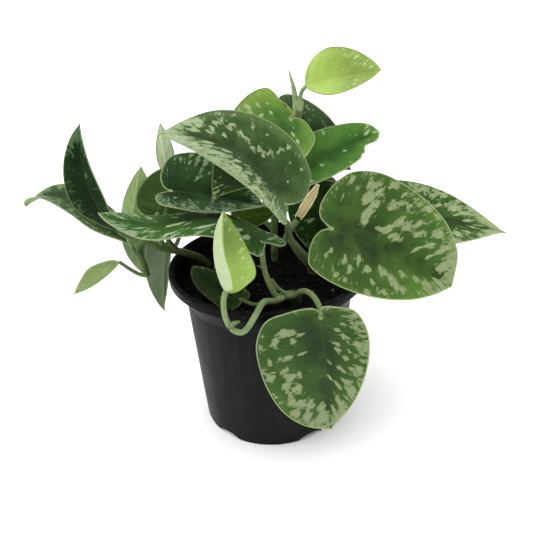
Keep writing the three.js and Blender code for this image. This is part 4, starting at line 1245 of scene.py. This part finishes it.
def pot_piece():
    """The turned pot with its notches cut out."""
    height, lip, flare = POT["height"], POT["lip_radius"], POT["flare_radius"]
    lip_bottom = height - POT["lip_drop"]
    outline = rounded([
        (0, 0, 0), (POT["base_radius"], 0, 1), (POT["body_radius"], POT["body_top"], 1),
        (flare, POT["flare_top"], 1), (flare, lip_bottom, 0.6), (lip, lip_bottom, 0.5),
        (lip, height - LIP_CROWN["drop"], 1), (lip - LIP_CROWN["width"], height, 1),
        (flare - POT["wall"], lip_bottom, 1), (flare - POT["wall"], POT["flare_top"], 1),
        (inner_radius(POT["body_top"]), POT["body_top"], 1),
        (inner_radius(POT["floor"]), POT["floor"], 0.8), (0, POT["floor"], 0),
    ])
    points, faces = [(0, 0, outline[0][1])], []
    rings = []
    for r, z in outline[1:-1]:
        rings.append(len(points))
        for k in range(POT_SECTORS):
            angle = 2 * math.pi * k / POT_SECTORS
            points.append((r * math.cos(angle), r * math.sin(angle), z))
    points.append((0, 0, outline[-1][1]))
    for k in range(POT_SECTORS):
        n = (k + 1) % POT_SECTORS
        faces.append([0, rings[0] + n, rings[0] + k])
        for low, high in zip(rings, rings[1:]):
            faces.append([low + k, low + n, high + n, high + k])
        faces.append([len(points) - 1, rings[-1] + k, rings[-1] + n])
    obj = make_object("nursery_pot", points, faces, [pot_paint()])
    cutters = notch_cutters()
    for cutter in cutters:
        cut = obj.modifiers.new(cutter.name, "BOOLEAN")
        cut.operation, cut.solver, cut.object = "DIFFERENCE", "EXACT", cutter
    apply_modifiers(obj)
    for cutter in cutters:
        bpy.data.objects.remove(cutter)
    obj.data.set_sharp_from_angle(angle=math.radians(SHARP_ANGLE))
    finish_piece(obj, "pot_plastic", "pot")


# ---------------------------------------------------------------- potting mix

MIX_SECTORS, MIX_RINGS = 300, 60
PEAT, BARK, GRIT = 0.0, 1.0, 2.0
# Chips of the mix. Pairs are the least and the most. long and flat are shares of a chip's size,
# reach is a share of the mix's radius, and tilt is in radians.
CHIP = {
    "count": 620, "reach": 0.97, "size": (0.35, 1.0), "large": 1.6, "large_share": 0.12,
    "long": (0.8, 2.2), "flat": (0.4, 0.8), "tilt": 0.5, "rise": 0.35, "jitter": (0.8, 1.15),
    "grit_share": 0.035, "bark_share": 0.5, "tone": (0.6, 1.3),
}
# A chip's corners before they are stretched and jittered, and its faces between them.
CHIP_CORNERS = (
    (1, 0, 0), (0, 1, 0), (-1, 0, 0), (0, -1, 0),
    (0.2, 0.1, 1), (-0.1, 0.2, -1), (0.7, 0.7, 0.4), (-0.7, -0.6, 0.5),
)
CHIP_FACES = (
    (0, 6, 4), (6, 1, 4), (1, 2, 4), (2, 7, 4), (7, 3, 4), (3, 0, 4),
    (6, 0, 5), (1, 6, 5), (2, 1, 5), (7, 2, 5), (3, 7, 5), (0, 3, 5),
)


def soil_paint():
    """Moist peat: near black, with brown fibres and a few pale chips."""
    paint = Paint("potting_mix")
    place = paint.place()
    kind, shade, _ = paint.attribute("soil")
    fine = paint.noise(place, 1400.0, 4.0, 0.7)
    clump = paint.noise(place, 240.0)
    colour = paint.tint("040403", "0e0c09", fine, 0.35, 0.7)
    colour = paint.tint(colour, "15110b", clump, 0.55, 0.75, 0.6)
    bark = paint.tint("150f09", "33271b", fine, 0.3, 0.7)
    colour = paint.tint(colour, bark, kind, 0.4, 0.6)
    colour = paint.tint(colour, "7d7462", kind, 1.4, 1.6)
    return paint.surface(
        Base_Color=paint.shade(colour, shade), Roughness=paint.ramp(fine, 0.3, 0.7, 0.75, 0.95),
        Normal=paint.bump(fine, 0.6), Specular_IOR_Level=0.12,
    )


def lumps(x, y):
    """How far the mix rises above its mean level: broad waves."""
    return SOIL["relief"] * (
        0.5 * np.sin(x * 0.31 + 1.3) * np.cos(y * 0.27)
        + 0.3 * np.sin(x * 0.63 + y * 0.41)
        + 0.2 * np.cos(y * 0.9 - x * 0.5))


def crumbs(x, y, rng):
    """Fine relief of the mix: several turned waves with a random phase each."""
    total = np.zeros_like(x)
    for scale, height in ((0.9, 0.25), (1.6, 0.22), (2.7, 0.18), (4.3, 0.12)):
        for _ in range(3):
            turn, phase = rng.uniform(0, math.pi), rng.uniform(0, 6.3)
            total += height * np.sin(scale * (x * math.cos(turn) + y * math.sin(turn)) + phase)
    return total


def mix_body(outer):
    """Points and faces of the mix without its chips: a rough top on a plain tapered body."""
    bottom = POT["floor"] + SOIL["gap"]
    angle = np.linspace(0, 2 * math.pi, MIX_SECTORS, endpoint=False)
    points = [np.array([[0, 0, SOIL["top"] + lumps(0, 0)]])]
    for i in range(1, MIX_RINGS + 1):
        r = outer * i / MIX_RINGS
        x, y = r * np.cos(angle), r * np.sin(angle)
        z = SOIL["top"] + lumps(x, y) + crumbs(x, y, random.Random(9))
        points.append(np.stack([x, y, z if i < MIX_RINGS else np.full_like(x, SOIL["top"])], 1))
    for z in (POT["body_top"], bottom):
        r = inner_radius(z) - SOIL["gap"]
        points.append(np.stack([r * np.cos(angle), r * np.sin(angle), np.full_like(angle, z)], 1))
    points.append(np.array([[0, 0, bottom]]))
    points = np.vstack(points)
    faces = []
    for k in range(MIX_SECTORS):
        n = (k + 1) % MIX_SECTORS
        faces.append([0, 1 + k, 1 + n])
        for i in range(MIX_RINGS + 1):
            low, high = 1 + i * MIX_SECTORS, 1 + (i + 1) * MIX_SECTORS
            faces.append([low + k, high + k, high + n, low + n])
        last = 1 + (MIX_RINGS + 1) * MIX_SECTORS
        faces.append([len(points) - 1, last + n, last + k])
    return points, faces


def chips(outer, first):
    """Crumbs, bark and grit strewn over the mix, with their points numbered from first."""
    rng = random.Random(4)
    points, faces, info = [], [], []
    for _ in range(CHIP["count"]):
        r = outer * CHIP["reach"] * math.sqrt(rng.random())
        turn = rng.uniform(0, 2 * math.pi)
        x, y = r * math.cos(turn), r * math.sin(turn)
        size = rng.uniform(*CHIP["size"])
        size *= CHIP["large"] if rng.random() < CHIP["large_share"] else 1
        stretch = (size * rng.uniform(*CHIP["long"]), size, size * rng.uniform(*CHIP["flat"]))
        spin = Matrix.Rotation(rng.uniform(0, 6.3), 3, "Z")
        spin = spin @ Matrix.Rotation(rng.uniform(-CHIP["tilt"], CHIP["tilt"]), 3, "X")
        centre = Vector((x, y, SOIL["top"] + lumps(x, y) + CHIP["rise"] * size))
        kind = GRIT if rng.random() < CHIP["grit_share"] else PEAT
        if kind == PEAT and rng.random() < CHIP["bark_share"]:
            kind = BARK
        tone = rng.uniform(*CHIP["tone"])
        faces += [[first + len(points) + c for c in face] for face in CHIP_FACES]
        for corner in CHIP_CORNERS:
            jitter = rng.uniform(*CHIP["jitter"])
            stretched = Vector([c * s for c, s in zip(corner, stretch)]) * jitter
            points.append(tuple(centre + spin @ stretched))
            info.append((kind, tone, 0.0))
    return points, faces, info


def soil_piece():
    """The mix with its chips. The paint reads what kind of bit a point is of, and its shade."""
    outer = inner_radius(SOIL["top"]) - SOIL["gap"]
    points, faces = mix_body(outer)
    info = np.tile([PEAT, 1.0, 0.0], (len(points), 1))
    chip_points, chip_faces, chip_info = chips(outer, len(points))
    obj = make_object("potting_mix", np.vstack([points, chip_points]), faces + chip_faces,
                      [soil_paint()], attributes={"soil": np.vstack([info, chip_info])})
    finish_piece(obj, "potting_mix", "soil")


# ---------------------------------------------------------------- floor, light and camera

FLOOR_REACH = 9000
# Each sun's name, strength, apparent width in degrees and the way that it shines.
SUNS = [("overhead", 2.3, 90, (0.2, -0.1, -1)), ("left_window", 0.7, 40, (1, 0.15, -0.5))]
# A full-frame camera. clip is in metres, and roll in degrees.
CAMERA = {"place": (0, -314, 255), "aim": (-0.7, 0, 89), "roll": -2.3, "lens": 45.52,
          "sensor": 36, "clip": (0.01, 50)}


def stage():
    """A pale floor in soft white light."""
    paint = Paint("floor")
    grain = paint.noise(paint.place(), 30.0, 3.0, 0.5)
    material = paint.surface(Base_Color=paint.mix(grain, "f6f7f7", "f9f9f9"), Roughness=0.9)
    corners = [(x * FLOOR_REACH, y * FLOOR_REACH, 0)
               for x, y in ((-1, -1), (1, -1), (1, 1), (-1, 1))]
    make_object("floor", corners, [[0, 1, 2, 3]], [material])
    world = bpy.data.worlds.new("studio")
    world.use_nodes = True
    background = world.node_tree.nodes["Background"]
    background.inputs["Color"].default_value = (1.0, 1.0, 1.0, 1)
    background.inputs["Strength"].default_value = 1.0
    bpy.context.scene.world = world
    bpy.context.scene.view_settings.view_transform = "Standard"
    for name, energy, width, way in SUNS:
        light = bpy.data.lights.new(name, "SUN")
        light.energy, light.angle = energy, math.radians(width)
        lamp = bpy.data.objects.new(name, light)
        lamp.rotation_mode = "QUATERNION"
        lamp.rotation_quaternion = Vector(way).to_track_quat("-Z", "Y")
        bpy.context.scene.collection.objects.link(lamp)


def camera():
    """The view that the photograph was taken from."""
    data = bpy.data.cameras.new("camera")
    data.sensor_width, data.lens = CAMERA["sensor"], CAMERA["lens"]
    data.clip_start, data.clip_end = CAMERA["clip"]
    obj = bpy.data.objects.new("camera", data)
    place, aim = np.array(CAMERA["place"], float), np.array(CAMERA["aim"])
    roll = math.radians(CAMERA["roll"])
    forward = unit(aim - place)
    right = unit(np.cross(forward, (0, 0, 1)))
    up = np.cross(right, forward)
    right, up = (right * math.cos(roll) + up * math.sin(roll),
                 up * math.cos(roll) - right * math.sin(roll))
    turn = Matrix(np.stack([right, up, -forward], 1).tolist()).to_4x4()
    obj.matrix_world = Matrix.Translation(Vector(place * MM)) @ turn
    bpy.context.scene.collection.objects.link(obj)
    bpy.context.scene.camera = obj


camera()
stage()
pot_piece()
soil_piece()
for vine_name, vine_parts in VINES.items():
    vine_piece(vine_name, vine_parts)
sheath_piece()
for leaf_number, (leaf_name, leaf_spec) in enumerate(LEAVES.items()):
    leaf_piece(leaf_name, leaf_spec, leaf_number)
